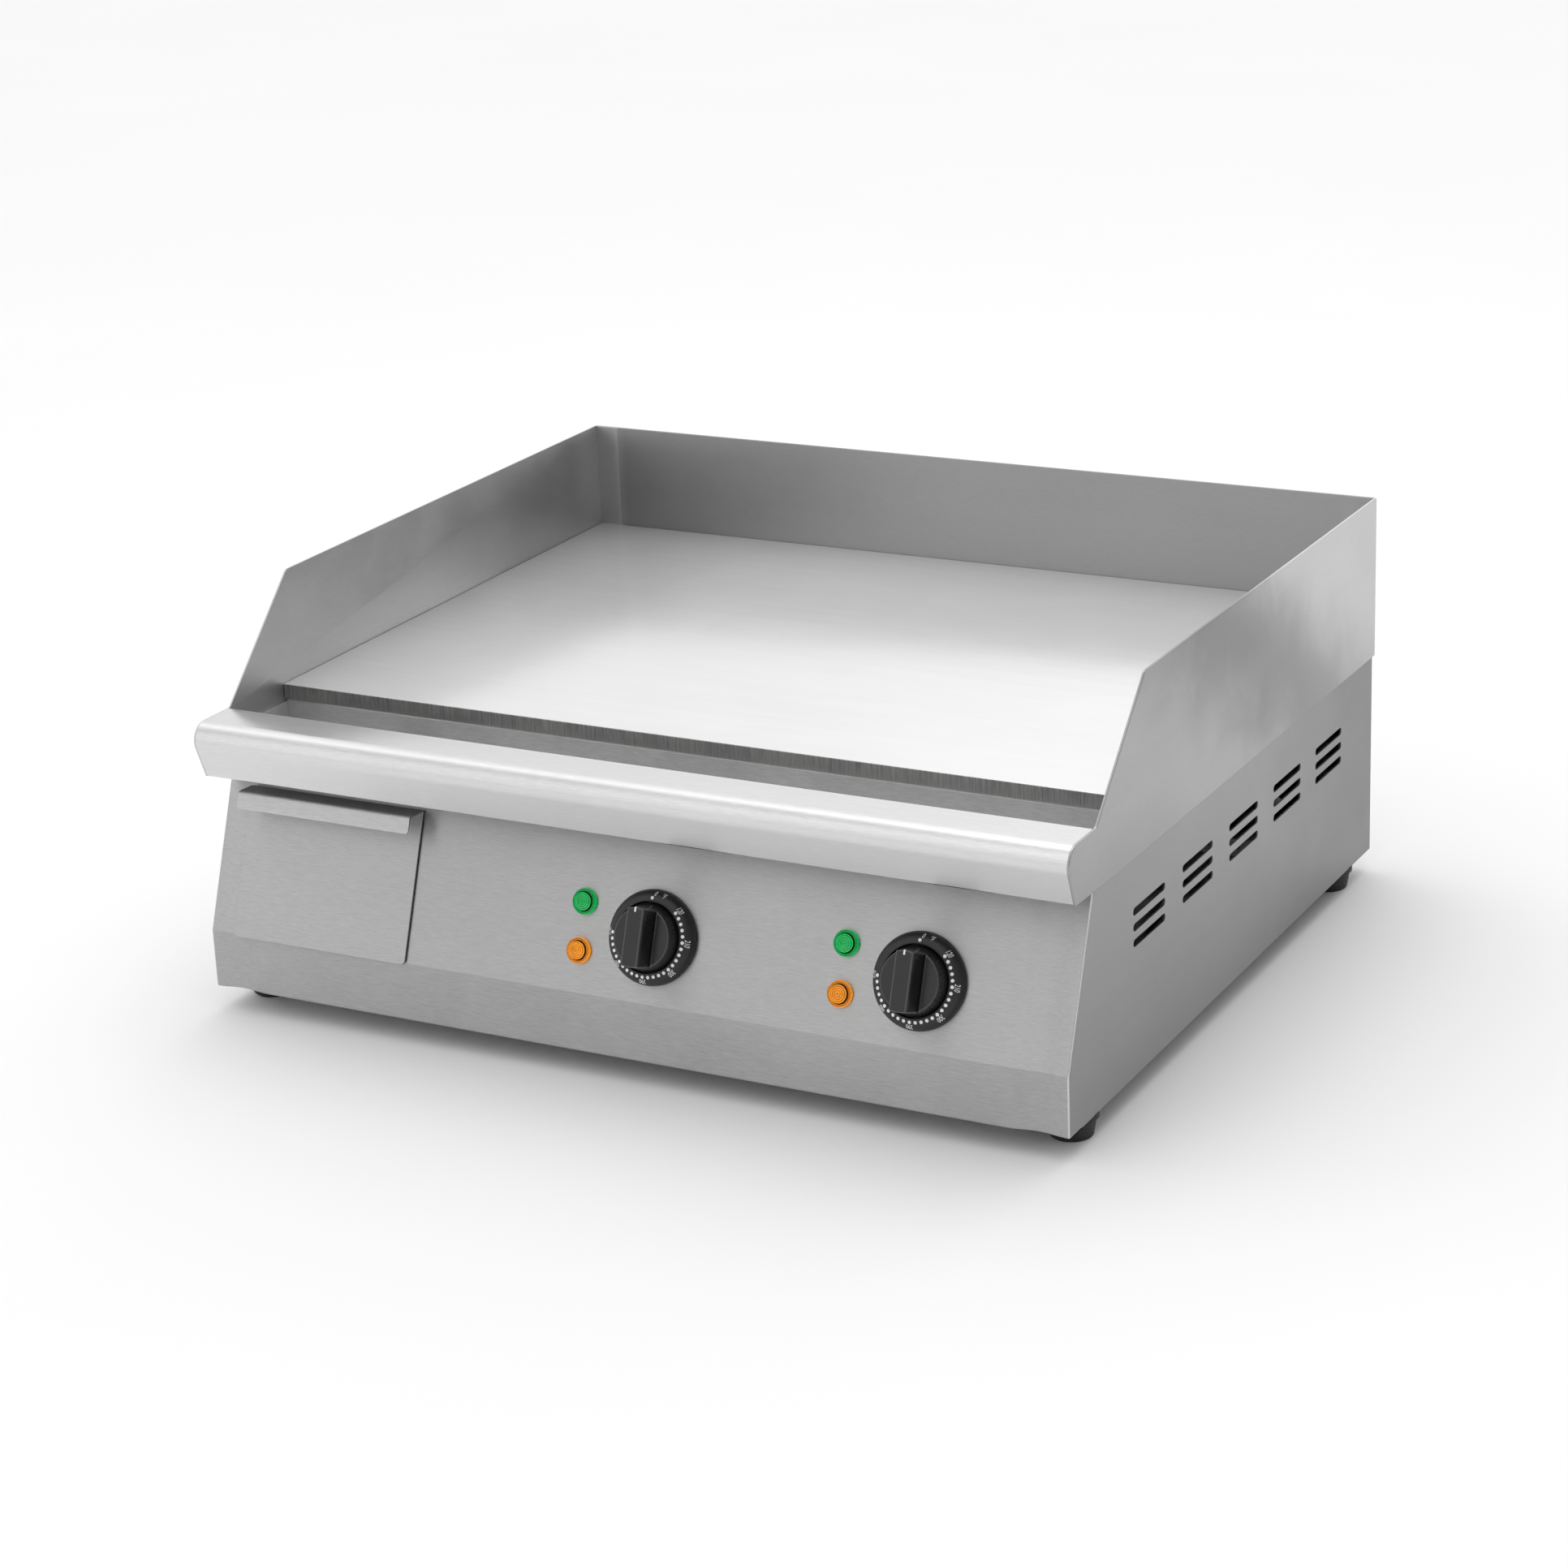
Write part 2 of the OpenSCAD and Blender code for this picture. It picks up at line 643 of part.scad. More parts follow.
// Thermostat body: bracket on the panel, neck around the shaft, switch block, tab terminals
module thermostat(x) {
    face = -body_sheet - 0.1;
    color([0.75, 0.75, 0.72]) translate([0, front_y, 0]) on_panel(x, control_s) difference() {
        union() {
            block([-20, -9, face - 1.5], [20, 9, face]);
            translate([0, 0, face - 8]) cylinder(h = 8, r = 5);
            block([-18, -18, face - thermostat_depth], [18, 18, face - 7]);
            translate([0, 0, face - thermostat_depth - 3]) cylinder(h = 3.1, r = 14);
            for (k = [-1, 1]) block([k * 10 - 3.2, 18, face - 30], [k * 10 + 3.2, 26, face - 29.2]);
        }
        translate([0, 0, -13]) cylinder(h = 20, r = shaft_r + 0.06);
        for (k = [-1, 1]) translate([14 * k, 0, face - 5]) cylinder(h = 10, r = 1.85);
    }
}

module left_thermostat() {
    thermostat(left_knob_x);
}

module right_thermostat() {
    thermostat(right_knob_x);
}

// Screws through the panel into the thermostat brackets, hidden under the knobs
module thermostat_screws() {
    color(brass) translate([0, front_y, 0]) for (x = [left_knob_x, right_knob_x], k = [-1, 1])
        on_panel(x, control_s) translate([14 * k, 0, 0]) difference() {
            union() {
                translate([0, 0, 0.05]) cylinder(h = 1.9, r = 3.5);
                translate([0, 0, -4.2]) cylinder(h = 4.3, r = 1.8);
            }
            translate([-4, -0.4, 1.2]) cube([8, 0.8, 2]);
        }
}

// Sensing tube from the thermostat's back to the bulb that lies under the plate
module capillary(x, home) {
    s = control_s;
    back = thermostat_depth + body_sheet + 3.4;
    start = [x, s * sin(panel_lean) + back * cos(panel_lean),
        bend_z + s * cos(panel_lean) - back * sin(panel_lean)];
    color(copper) translate([0, front_y, 0]) {
        swept([start, start + [0, 10, -4], start + [0, 26, 0], [x + (home - x) * 0.1, channel_y - 18, 96],
            [x + (home - x) * 0.5, channel_y - 10, 116], [home + 6, channel_y - 1, 129],
            [home, channel_y, 141], [home, channel_y + 2, 156], [home, channel_y + 14, 168],
            [home, channel_y + 40, element_z], [home, bulb_y[0] + 1, element_z]], 1, 3);
        rod_y(home, bulb_y[0], bulb_y[1], element_z, 3);
    }
}

module left_capillary() {
    capillary(left_knob_x, element_x[0]);
}

module right_capillary() {
    capillary(right_knob_x, element_x[1]);
}

// Saddle clips that hold the bulbs against the plate
module bulb_clips() {
    ends = [bulb_y[0] + 20, bulb_y[1] - 20];
    color(bright_steel) translate([0, front_y, 0]) for (x = element_x, y = ends)
        translate([x, y, element_z]) rotate([-90, 0, 0]) difference() {
            union() {
                cylinder(h = 8, r = 4.1);
                translate([-8, -4.2, 0]) cube([16, 1, 8]);
            }
            translate([0, 0, -1]) cylinder(h = 10, r = 3.05);
        }
}

// Lamp lens: stepped collar and a low dome
module lamp_lens(x, k, tint) {
    color(tint) translate([0, front_y, 0]) on_panel(x - lamp_offset, control_s + k * lamp_rise)
        rotate_extrude() polygon(concat([[0, 0.1], [lens_r, 0.1]],
            [for (a = [0:15:90]) [lens_r - 1.4 + 1.4 * cos(a), 1.5 + 1.4 * sin(a)]],
            [[5.9, 2.4], [5.6, 3.2]], [for (a = [20:20:80]) [5.6 * cos(a), 3.2 + 1.3 * sin(a)]],
            [[0, 4.5]]));
}

module left_power_lens() {
    lamp_lens(left_knob_x, 1, green);
}

module left_heating_lens() {
    lamp_lens(left_knob_x, -1, amber);
}

module right_power_lens() {
    lamp_lens(right_knob_x, 1, green);
}

module right_heating_lens() {
    lamp_lens(right_knob_x, -1, amber);
}

// Lamp body behind the panel, with its spring collar and two tabs
module lamp_body(x, k) {
    color([0.85, 0.84, 0.8]) translate([0, front_y, 0])
        on_panel(x - lamp_offset, control_s + k * lamp_rise) {
            translate([0, 0, -22]) cylinder(h = 22, r = 5.8);
            translate([0, 0, -body_sheet - 3]) cylinder(h = 2.8, r = 8);
            for (j = [-1, 1]) block([j * 2.5 - 0.4, -2.4, -29], [j * 2.5 + 0.4, 2.4, -21.9]);
        }
}

module left_power_lamp() {
    lamp_body(left_knob_x, 1);
}

module left_heating_lamp() {
    lamp_body(left_knob_x, -1);
}

module right_power_lamp() {
    lamp_body(right_knob_x, 1);
}

module right_heating_lamp() {
    lamp_body(right_knob_x, -1);
}

// Folded front: face on the panel, flange out under the ledge, lip down for the fingers
module drawer_front() {
    h = drawer_gap;
    a = panel_lean;
    top = [drawer_high_s * sin(a) - h * cos(a), bend_z + drawer_high_s * cos(a) + h * sin(a)];
    low = [drawer_low_s * sin(a) - h * cos(a), bend_z + drawer_low_s * cos(a) + h * sin(a)];
    edge = top + [-drawer_flange_d, 1];
    lip = edge - drawer_lip * [sin(a), cos(a)];
    x0 = drawer_x - drawer_w / 2;
    x1 = drawer_x + drawer_w / 2;
    color(bright_steel) translate([0, front_y, 0]) intersection() {
        along_x(x0, x1, bent_sheet([[low.x, low.y, 0], [top.x, top.y, 1.4], [edge.x, edge.y, 2.4],
            [lip.x, lip.y, 0]], drawer_sheet));
        // Rounded lower corners of the face and of the lip
        union() {
            on_panel(drawer_x, 0) linear_extrude(5) polygon(rounded([
                [-drawer_w / 2, drawer_low_s, 3], [drawer_w / 2, drawer_low_s, 3],
                [drawer_w / 2, drawer_high_s + 5, 0], [-drawer_w / 2, drawer_high_s + 5, 0]]));
            on_panel(drawer_x, 0) translate([0, 0, 4.99]) linear_extrude(20) polygon(rounded([
                [-drawer_w / 2, 79.8, 3], [drawer_w / 2, 79.8, 3],
                [drawer_w / 2, drawer_high_s + 12, 0], [-drawer_w / 2, drawer_high_s + 12, 0]]));
        }
    }
}

// Open box with its front wall leaning with the panel, spot welded to the drawer front
module drawer_tray() {
    lean = tan(panel_lean);
    base_h = drawer_gap / cos(panel_lean);
    front_low = (tray_z - bend_z) * lean - base_h;
    front_high = (tray_z + tray_h - bend_z) * lean - base_h;
    inner = tray_sheet / cos(panel_lean);
    back = front_low + tray_d;
    color(bright_steel) translate([drawer_x, front_y, 0]) difference() {
        along_x(-tray_w / 2, tray_w / 2, rounded([[front_low, tray_z, 0], [back, tray_z, 4],
            [back, tray_z + tray_h, 0], [front_high, tray_z + tray_h, 0]]));
        along_x(-tray_w / 2 + tray_sheet, tray_w / 2 - tray_sheet, rounded([
            [front_low + inner + tray_sheet * lean, tray_z + tray_sheet, 3],
            [back - tray_sheet, tray_z + tray_sheet, 3],
            [back - tray_sheet, tray_z + tray_h + 1, 0],
            [front_high + inner + lean, tray_z + tray_h + 1, 0]]));
    }
}

// Folded rail: foot on the base plate, web, shelf under the tray, low wall beside it
module drawer_guide(hand) {
    side = tray_w / 2 + 2.2;
    shelf = tray_z - 1.1;
    color(steel) translate([drawer_x, front_y, 0]) mirror([hand < 0 ? 1 : 0, 0, 0])
        along_y(34, 400, bent_sheet([[side - 26, inside_z + 0.05, 0], [side - 12, inside_z + 0.05, 1.4],
            [side - 12, shelf, 1.4], [side, shelf, 1.4], [side, shelf + 22, 0]], 1));
}

module left_drawer_guide() {
    drawer_guide(-1);
}

module right_drawer_guide() {
    drawer_guide(1);
}

// Hollow gland: hexagonal body outside, threaded neck through the panel, domed cap
module cable_gland() {
    color(black) translate([gland_x, front_y + rear_y, gland_z]) rotate([-90, 0, 0]) difference() {
        union() {
            translate([0, 0, -12]) cylinder(h = 12.1, r = gland_r);
            cylinder(h = 6, d = 24 / cos(30), $fn = 6);
            translate([0, 0, 5.9]) rotate_extrude() polygon(concat([[0, 0], [11.4, 0], [11.4, 7]],
                [for (a = [15:15:60]) [5.4 + 6 * cos(a), 7 + 8.2 * sin(a)]],
                [[7.8, gland_reach - 5.9], [0, gland_reach - 5.9]]));
        }
        translate([0, 0, -13]) cylinder(h = gland_reach + 14, r = 5);
    }
}

module gland_locknut() {
    color(black) translate([gland_x, front_y + rear_y - body_sheet - 5.1, gland_z]) rotate([-90, 0, 0])
        nut(24, 5, gland_r + 0.05);
}

// Equal-potential bonding stud through the rear panel
module earth_stud() {
    color(brass) translate([0, front_y, 0]) rod_y(earth_x, rear_y - 14, rear_y + 14, earth_z, 3);
}

module earth_nuts() {
    color(brass) translate([earth_x, front_y + rear_y, earth_z]) rotate([-90, 0, 0]) {
        translate([0, 0, 0.05]) nut(10, 5, 3.05);
        translate([0, 0, 6.5]) nut(10, 5, 3.05);
        translate([0, 0, -body_sheet - 5.05]) nut(10, 5, 3.05);
    }
}

// Manual-reset limiter: threaded neck through the rear panel, switch can and tabs inside
module safety_cutout(x) {
    color([0.3, 0.3, 0.32]) translate([x, front_y + rear_y, cutout_z]) rotate([-90, 0, 0]) difference() {
        union() {
            translate([0, 0, -26]) cylinder(h = 18, r = 14);
            translate([0, 0, -8.1]) cylinder(h = 13.1, r = 5);
            translate([0, 0, 0.05]) cylinder(h = 3, d = 14 / cos(30), $fn = 6);
            for (k = [-1, 1]) block([k * 7 - 3.2, -0.4, -34], [k * 7 + 3.2, 0.4, -25.9]);
        }
        translate([0, 0, -16]) cylinder(h = 30, r = 2.6);
    }
}

module left_safety_cutout() {
    safety_cutout(cutout_x[0]);
}

module right_safety_cutout() {
    safety_cutout(cutout_x[1]);
}

// Button of the limiter, pressed forwards into the neck
module reset_button(x) {
    color(red) translate([x, front_y + rear_y, cutout_z]) rotate([-90, 0, 0])
        rotate_extrude() polygon([[0, -12], [2.54, -12], [2.54, 7], [1.9, 7.8], [0, 8]]);
}

module left_reset_button() {
    reset_button(cutout_x[0]);
}

module right_reset_button() {
    reset_button(cutout_x[1]);
}

// Ceramic block for the incoming supply, with brass inserts shown as screw wells
module terminal_block() {
    ways = 4;
    pitch = 16;
    color(ceramic) translate([180, front_y + 400, inside_z + 0.05]) difference() {
        cube([ways * pitch, 30, 22]);
        for (i = [0:ways - 1]) {
            translate([(i + 0.5) * pitch, 15, 8]) cylinder(h = 20, r = 4.5);
            translate([(i + 0.5) * pitch, -1, 12]) rotate([-90, 0, 0]) cylinder(h = 32, r = 3);
        }
        for (i = [1:ways - 1]) translate([i * pitch - 0.8, -1, 15]) cube([1.6, 32, 10]);
    }
}

// Tip of a thermostat's tab, where a lead ends: side is -1 or 1
function tab_tip(x, side) =
    let (s = control_s + 26.5, h = body_sheet + 29.6)
    [x + side * 10, s * sin(panel_lean) + h * cos(panel_lean),
        bend_z + s * cos(panel_lean) - h * sin(panel_lean)];
// Direction up the panel
up_panel = [0, sin(panel_lean), cos(panel_lean)];

// Leads from the terminal block along the base to both thermostats
module mains_loom() {
    a = tab_tip(left_knob_x, 1);
    b = tab_tip(right_knob_x, 1);
    color([0.15, 0.15, 0.16]) translate([0, front_y, 0]) {
        swept([[204, 399.5, 30], [204, 380, 27], [214, 330, 24], [224, 240, 24], [226, 160, 30],
            [b.x + 14, 104, 70], b + [6, 16, 16], b + 7 * up_panel, b], 2.2, 3);
        swept([[188, 399.5, 30], [188, 380, 27], [174, 330, 24], [120, 250, 24], [66, 170, 30],
            [a.x + 14, 104, 70], a + [6, 16, 16], a + 7 * up_panel, a], 2.2, 3);
    }
}

// Leads from one thermostat to the ends of its heater
module zone_loom(x, home) {
    tail_y = element_front_y - 14;
    tail_z = element_z - 14 - element_tail - 0.8;
    color([0.75, 0.72, 0.66]) translate([0, front_y, 0]) for (side = [-1, 1]) {
        t = tab_tip(x, -1) + [side * 1.7, 0, 0];
        e = home + side * 2.5 * element_pitch;
        run_z = 126.7 + 2.3 * side;
        swept([t, t + 7 * up_panel, t + [side * 3, 12, 12], [t.x + (e - t.x) * 0.3, 92 - 5 * side, run_z],
            [t.x + (e - t.x) * 0.7, 106 - 5 * side, run_z], [e - side * 8, tail_y - 9, run_z - 1],
            [e, tail_y - 1, tail_z - 3], [e, tail_y, tail_z]], 1.2, 4);
    }
}

module left_zone_loom() {
    zone_loom(left_knob_x, element_x[0]);
}

module right_zone_loom() {
    zone_loom(right_knob_x, element_x[1]);
}

// Screws that close the casing at the rear
module casing_screws() {
    color(bright_steel) translate([0, front_y, 0]) for (s = rear_screws, k = [-1, 1])
        translate([k * s.x, rear_y + 0.05, s[1]]) rotate([-90, 0, 0]) pan_screw(1.9, 8);
}

splash_guard();
front_ledge();
griddle_plate();
grease_trough();
drain_spout();
left_side_panel();
right_side_panel();
control_panel();
rear_panel();
base_plate();
front_left_foot();
front_right_foot();
rear_left_foot();
rear_right_foot();
foot_screws();
drawer_front();
drawer_tray();
left_drawer_guide();
right_drawer_guide();
left_dial_ring();
right_dial_ring();
left_knob();
right_knob();
left_thermostat();
right_thermostat();
left_thermostat_shaft();
right_thermostat_shaft();
thermostat_screws();
left_capillary();
right_capillary();
bulb_clips();
left_power_lens();
left_heating_lens();
right_power_lens();
right_heating_lens();
left_power_lamp();
left_heating_lamp();
right_power_lamp();
right_heating_lamp();
left_heating_element();
right_heating_element();
element_clamps();
clamp_nuts();
insulation_blanket();
insulation_pan();
left_safety_cutout();
right_safety_cutout();
left_reset_button();
right_reset_button();
terminal_block();
mains_loom();
left_zone_loom();
right_zone_loom();
cable_gland();
gland_locknut();
earth_stud();
earth_nuts();
casing_screws();
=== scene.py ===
import json
import math
import bmesh
import bpy
import numpy as np
from mathutils import Matrix, Vector


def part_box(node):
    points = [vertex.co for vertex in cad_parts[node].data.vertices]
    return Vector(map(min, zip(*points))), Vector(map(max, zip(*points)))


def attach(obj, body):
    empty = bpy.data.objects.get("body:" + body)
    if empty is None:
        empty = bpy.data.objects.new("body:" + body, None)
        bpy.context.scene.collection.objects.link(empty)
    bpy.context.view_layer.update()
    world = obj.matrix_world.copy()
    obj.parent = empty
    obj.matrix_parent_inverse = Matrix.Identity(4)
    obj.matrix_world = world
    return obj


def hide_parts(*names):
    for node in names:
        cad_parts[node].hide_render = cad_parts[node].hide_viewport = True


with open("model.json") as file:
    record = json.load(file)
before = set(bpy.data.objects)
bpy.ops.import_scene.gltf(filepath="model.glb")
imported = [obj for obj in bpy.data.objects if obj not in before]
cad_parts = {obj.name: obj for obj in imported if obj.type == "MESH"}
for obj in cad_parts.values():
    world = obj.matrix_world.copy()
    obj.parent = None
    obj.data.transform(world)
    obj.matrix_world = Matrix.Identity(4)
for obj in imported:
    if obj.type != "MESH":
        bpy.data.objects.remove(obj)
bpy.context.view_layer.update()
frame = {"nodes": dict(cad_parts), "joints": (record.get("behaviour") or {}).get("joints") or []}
nodes = frame["nodes"]
mm = 0.001
noiseLow, noiseHigh = 0.3, 0.7  # nearly all of a noise value lies between these
print("frame loaded")


def startMaterial(name):
    material = bpy.data.materials.new(name)
    material.use_nodes = True
    return material, material.node_tree, material.node_tree.nodes["Principled BSDF"]


# Adds a node; a keyword names an input (i0, i1 for inputs by place) and gives a value or a socket
def addNode(tree, kind, settings=None, **inputs):
    n = tree.nodes.new("ShaderNode" + kind)
    for key, value in (settings or {}).items():
        setattr(n, key, value)
    for key, value in inputs.items():
        socket = n.inputs[int(key[1:])] if key[1:].isdigit() else n.inputs[key.replace("_", " ")]
        if isinstance(value, bpy.types.NodeSocket):
            tree.links.new(value, socket)
        else:
            socket.default_value = value
    return n


# Noise whose spots are the given length along each axis, in metres
def grain(tree, size, detail=2.0, roughness=0.5, distortion=0.0, shift=(0, 0, 0)):
    where = addNode(tree, "TexCoord").outputs["Object"]
    stretched = addNode(tree, "Mapping", Vector=where, Scale=[1 / s for s in size], Location=shift)
    return addNode(tree, "TexNoise", Vector=stretched.outputs[0], Scale=1.0, Detail=detail,
                   Roughness=roughness, Distortion=distortion).outputs["Fac"]


def remap(tree, value, low, high, outLow, outHigh):
    return addNode(tree, "MapRange", {"clamp": True}, Value=value, From_Min=low, From_Max=high,
                   To_Min=outLow, To_Max=outHigh).outputs[0]


# Noise brought from its usual range to the given one
def spread(tree, noise, outLow, outHigh):
    return remap(tree, noise, noiseLow, noiseHigh, outLow, outHigh)


def combine(tree, how, a, b):
    return addNode(tree, "Math", {"operation": how}, i0=a, i1=b).outputs[0]


# A base colour made lighter or darker by a value near 1
def shaded(tree, color, value):
    mix = addNode(tree, "VectorMath", {"operation": "SCALE"}, i0=color[:3])
    tree.links.new(value, mix.inputs["Scale"])
    return mix.outputs[0]


def attribute(tree, name):
    return addNode(tree, "Attribute", {"attribute_name": name}).outputs["Fac"]


# Bumps the shader's surface by a height
def bumped(tree, shader, height, strength, distance=0.0001):
    bump = addNode(tree, "Bump", Strength=strength, Distance=distance, Height=height)
    tree.links.new(bump.outputs[0], shader.inputs["Normal"])


# A smooth curve through (place, level) stops, its levels kept at half so they fit a colour ramp
def graded(tree, value, stops):
    ramp = addNode(tree, "ValToRGB", Fac=value)
    ramp.color_ramp.interpolation = "B_SPLINE"
    while len(ramp.color_ramp.elements) > 1:
        ramp.color_ramp.elements.remove(ramp.color_ramp.elements[-1])
    for i, (t, level) in enumerate(stops):
        stop = ramp.color_ramp.elements[0] if i == 0 else ramp.color_ramp.elements.new(t)
        stop.position = t
        stop.color = (level / 2, level / 2, level / 2, 1)
    return combine(tree, "MULTIPLY", ramp.outputs[0], 2.0)


# What the sheets share. Lengths are in metres; a tone is how far the colour goes up and down.
# Where along has stops, the tone also changes from -reach to reach in y, moved by slope for each metre
# over the level and wavering with the clouds: bands of painted light and shade.
sheetLook = {"brush": (1, 0, 0), "rough": 0.42, "fineLength": 0.008, "fineWidth": 0.00045, "fineTone": 0.13,
             "fineRough": 0.03, "broadLength": 0.35, "broadWidth": 0.011, "broadTone": 0.01,
             "broadBump": 0.35, "cloudSize": 0.05, "cloudTone": 0.01, "cloudRough": 0.015,
             "hazeSize": (0.22, 0.22, 0.16), "hazeTone": 0.015, "bump": 0.25, "bumpDepth": 0.00012,
             "draw": 0.92, "metal": 1.0, "along": None, "slope": 0.0, "level": 0.2, "reach": 0.25, "waver": 0.02}


# Brushed sheet: long fine streaks along the brushing, broad soft streaks, and clouds of hand polishing.
# The highlight is drawn out across the brushing, so the tangent is the normal crossed with the brush line.
def brushedSteel(name, look):
    material, tree, shader = startMaterial(name)
    along = np.array(look["brush"], float)
    streak = lambda length, width: tuple(along * length + (1 - along) * width)
    fine = grain(tree, streak(look["fineLength"], look["fineWidth"]), 3.0, 0.65)
    broad = grain(tree, streak(look["broadLength"], look["broadWidth"]), 2.0, 0.5, shift=(3.1, 1.7, 0.4))
    cloud = grain(tree, (look["cloudSize"],) * 3, 4.0, 0.55, 0.6, shift=(0.7, 2.3, 1.1))
    haze = grain(tree, look["hazeSize"], 2.0, 0.5, 0.3, shift=(5.2, 0.3, 2.1))
    tone = spread(tree, fine, 1 - look["fineTone"], 1 + look["fineTone"])
    for noise, reach in ((broad, look["broadTone"]), (cloud, look["cloudTone"]), (haze, look["hazeTone"])):
        tone = combine(tree, "ADD", tone, spread(tree, noise, -reach, reach))
    # Bands of painted light and shade: the tone follows the along stops across y
    if look["along"]:
        split = addNode(tree, "SeparateXYZ", Vector=addNode(tree, "TexCoord").outputs["Object"])
        height = combine(tree, "SUBTRACT", split.outputs["Z"], look["level"])
        y = combine(tree, "ADD", split.outputs["Y"], combine(tree, "MULTIPLY", height, look["slope"]))
        y = combine(tree, "ADD", y, spread(tree, cloud, -look["waver"], look["waver"]))
        part = remap(tree, y, -look["reach"], look["reach"], 0, 1)
        tone = combine(tree, "MULTIPLY", tone, graded(tree, part, look["along"]))
    tree.links.new(shaded(tree, look["color"], tone), shader.inputs["Base Color"])
    rough = spread(tree, fine, look["rough"] - look["fineRough"], look["rough"] + look["fineRough"])
    rough = combine(tree, "ADD", rough, spread(tree, cloud, -look["cloudRough"], look["cloudRough"]))
    tree.links.new(rough, shader.inputs["Roughness"])
    height = combine(tree, "ADD", fine, remap(tree, broad, 0.0, 1.0, 0.0, look["broadBump"]))
    bumped(tree, shader, height, look["bump"], look["bumpDepth"])
    normal = addNode(tree, "NewGeometry").outputs["Normal"]
    line = tuple(along + [0.02, 0.03, 0.01])  # a little off the axes, for faces square to the brushing
    across = addNode(tree, "VectorMath", {"operation": "CROSS_PRODUCT"}, i0=normal, i1=line)
    tree.links.new(across.outputs[0], shader.inputs["Tangent"])
    shader.inputs["Metallic"].default_value = look["metal"]
    shader.inputs["Anisotropic"].default_value = look["draw"]
    return material


def sheetSteel(name, grey, **changes):
    return brushedSteel(name, {**sheetLook, "color": (grey, grey, grey, 1), **changes})


# Speckled moulded plastic or rubber: tiny pits in the bump, a little change in gloss and, when asked, a painted
# highlight read from an attribute
def moulded(name, color, rough, speck=0.0006, depth=0.3, coat=0.0, tone=0.12, paintedHighlight=0.0):
    material, tree, shader = startMaterial(name)
    pits = grain(tree, (speck,) * 3, 2.0, 0.6)
    patch = grain(tree, (0.012,) * 3, 3.0, 0.5, 0.4)
    shade = spread(tree, patch, 1 - tone, 1 + tone)
    # Painted highlight: the colour is raised where the attribute says
    if paintedHighlight:
        shade = combine(tree, "ADD", shade, combine(tree, "MULTIPLY", attribute(tree, "paintedHighlight"), paintedHighlight))
    tree.links.new(shaded(tree, color, shade), shader.inputs["Base Color"])
    gloss = spread(tree, pits, rough - 0.06, rough + 0.06)
    gloss = combine(tree, "ADD", gloss, spread(tree, patch, -0.05, 0.05))
    tree.links.new(gloss, shader.inputs["Roughness"])
    bumped(tree, shader, pits, depth)
    shader.inputs["Coat Weight"].default_value = coat
    return material


# Turned, drawn or plated metal: fine round marks and patches of duller finish
def plainMetal(name, color, rough, size=(0.0008, 0.0008, 0.006), tarnish=0.15):
    material, tree, shader = startMaterial(name)
    marks = grain(tree, size, 2.0, 0.6)
    patch = grain(tree, (0.015,) * 3, 4.0, 0.6, 0.5)
    tone = combine(tree, "ADD", spread(tree, patch, 1 - tarnish, 1.0), spread(tree, marks, -0.04, 0.04))
    tree.links.new(shaded(tree, color, tone), shader.inputs["Base Color"])
    gloss = spread(tree, patch, rough + 0.1, rough - 0.03)
    gloss = combine(tree, "ADD", gloss, spread(tree, marks, -0.03, 0.03))
    tree.links.new(gloss, shader.inputs["Roughness"])
    bumped(tree, shader, marks, 0.2)
    shader.inputs["Metallic"].default_value = 1.0
    return material


# Clear tinted plastic of a lamp lens, with faint swirl in the colour, painted rings of light and shade from an
# attribute, and a faint painted glow of its own colour
def lensPlastic(name, color):
    material, tree, shader = startMaterial(name)
    swirl = grain(tree, (0.003,) * 3, 3.0, 0.5, 0.8)
    tone = combine(tree, "MULTIPLY", attribute(tree, "ring"), spread(tree, swirl, 0.85, 1.15))
    for socket in ("Base Color", "Emission Color"):
        tree.links.new(shaded(tree, color, tone), shader.inputs[socket])
    tree.links.new(spread(tree, swirl, 0.05, 0.12), shader.inputs["Roughness"])
    bumped(tree, shader, swirl, 0.1)
    shader.inputs["Transmission Weight"].default_value = 0.4
    shader.inputs["IOR"].default_value = 1.45
    # A faint painted glow of the lens's own colour, standing in for light through the tinted plastic
    shader.inputs["Emission Strength"].default_value = 0.12
    return material


# Fibrous mat or woven sleeve: crossed fibres in the colour and bump, each 8 times as long as wide
def fibre(name, color, width):
    material, tree, shader = startMaterial(name)
    length = width * 8
    warp = grain(tree, (length, width, width), 3.0, 0.6, 0.4)
    weft = grain(tree, (width, length, width), 3.0, 0.6, 0.4, shift=(1, 2, 3))
    mix = combine(tree, "MAXIMUM", warp, weft)
    tree.links.new(shaded(tree, color, remap(tree, mix, 0.4, 0.75, 0.75, 1.08)), shader.inputs["Base Color"])
    tree.links.new(remap(tree, mix, 0.4, 0.7, 0.95, 0.8), shader.inputs["Roughness"])
    bumped(tree, shader, mix, 0.6, 0.0005)
    return material


wallLook = {"fineTone": 0.05, "draw": 0.5, "bump": 0.15}
sideLook = {**wallLook, "brush": (0, 1, 0), "cloudSize": 0.06}
# Tone of the side steel along y: painted shade, darker towards the back
sideShadeBands = [(0.0, 1.0), (0.5, 1.05), (0.75, 0.8), (1.0, 0.7)]
# Painted light and shade along the right guard wall: darker across the middle, bright towards the back
guardLightBands = [(0.0, 0.95), (0.2, 1.05), (0.38, 1.0), (0.54, 0.6), (0.7, 0.5), (0.86, 1.4), (1.0, 1.4)]
casingSteel = sheetSteel("casingSteel", 0.46)
# A darker copy of the casing steel for the upright strip below the bend: painted shade
shadedUprightSteel = sheetSteel("shadedUprightSteel", 0.43, cloudTone=0.05, hazeTone=0.03)
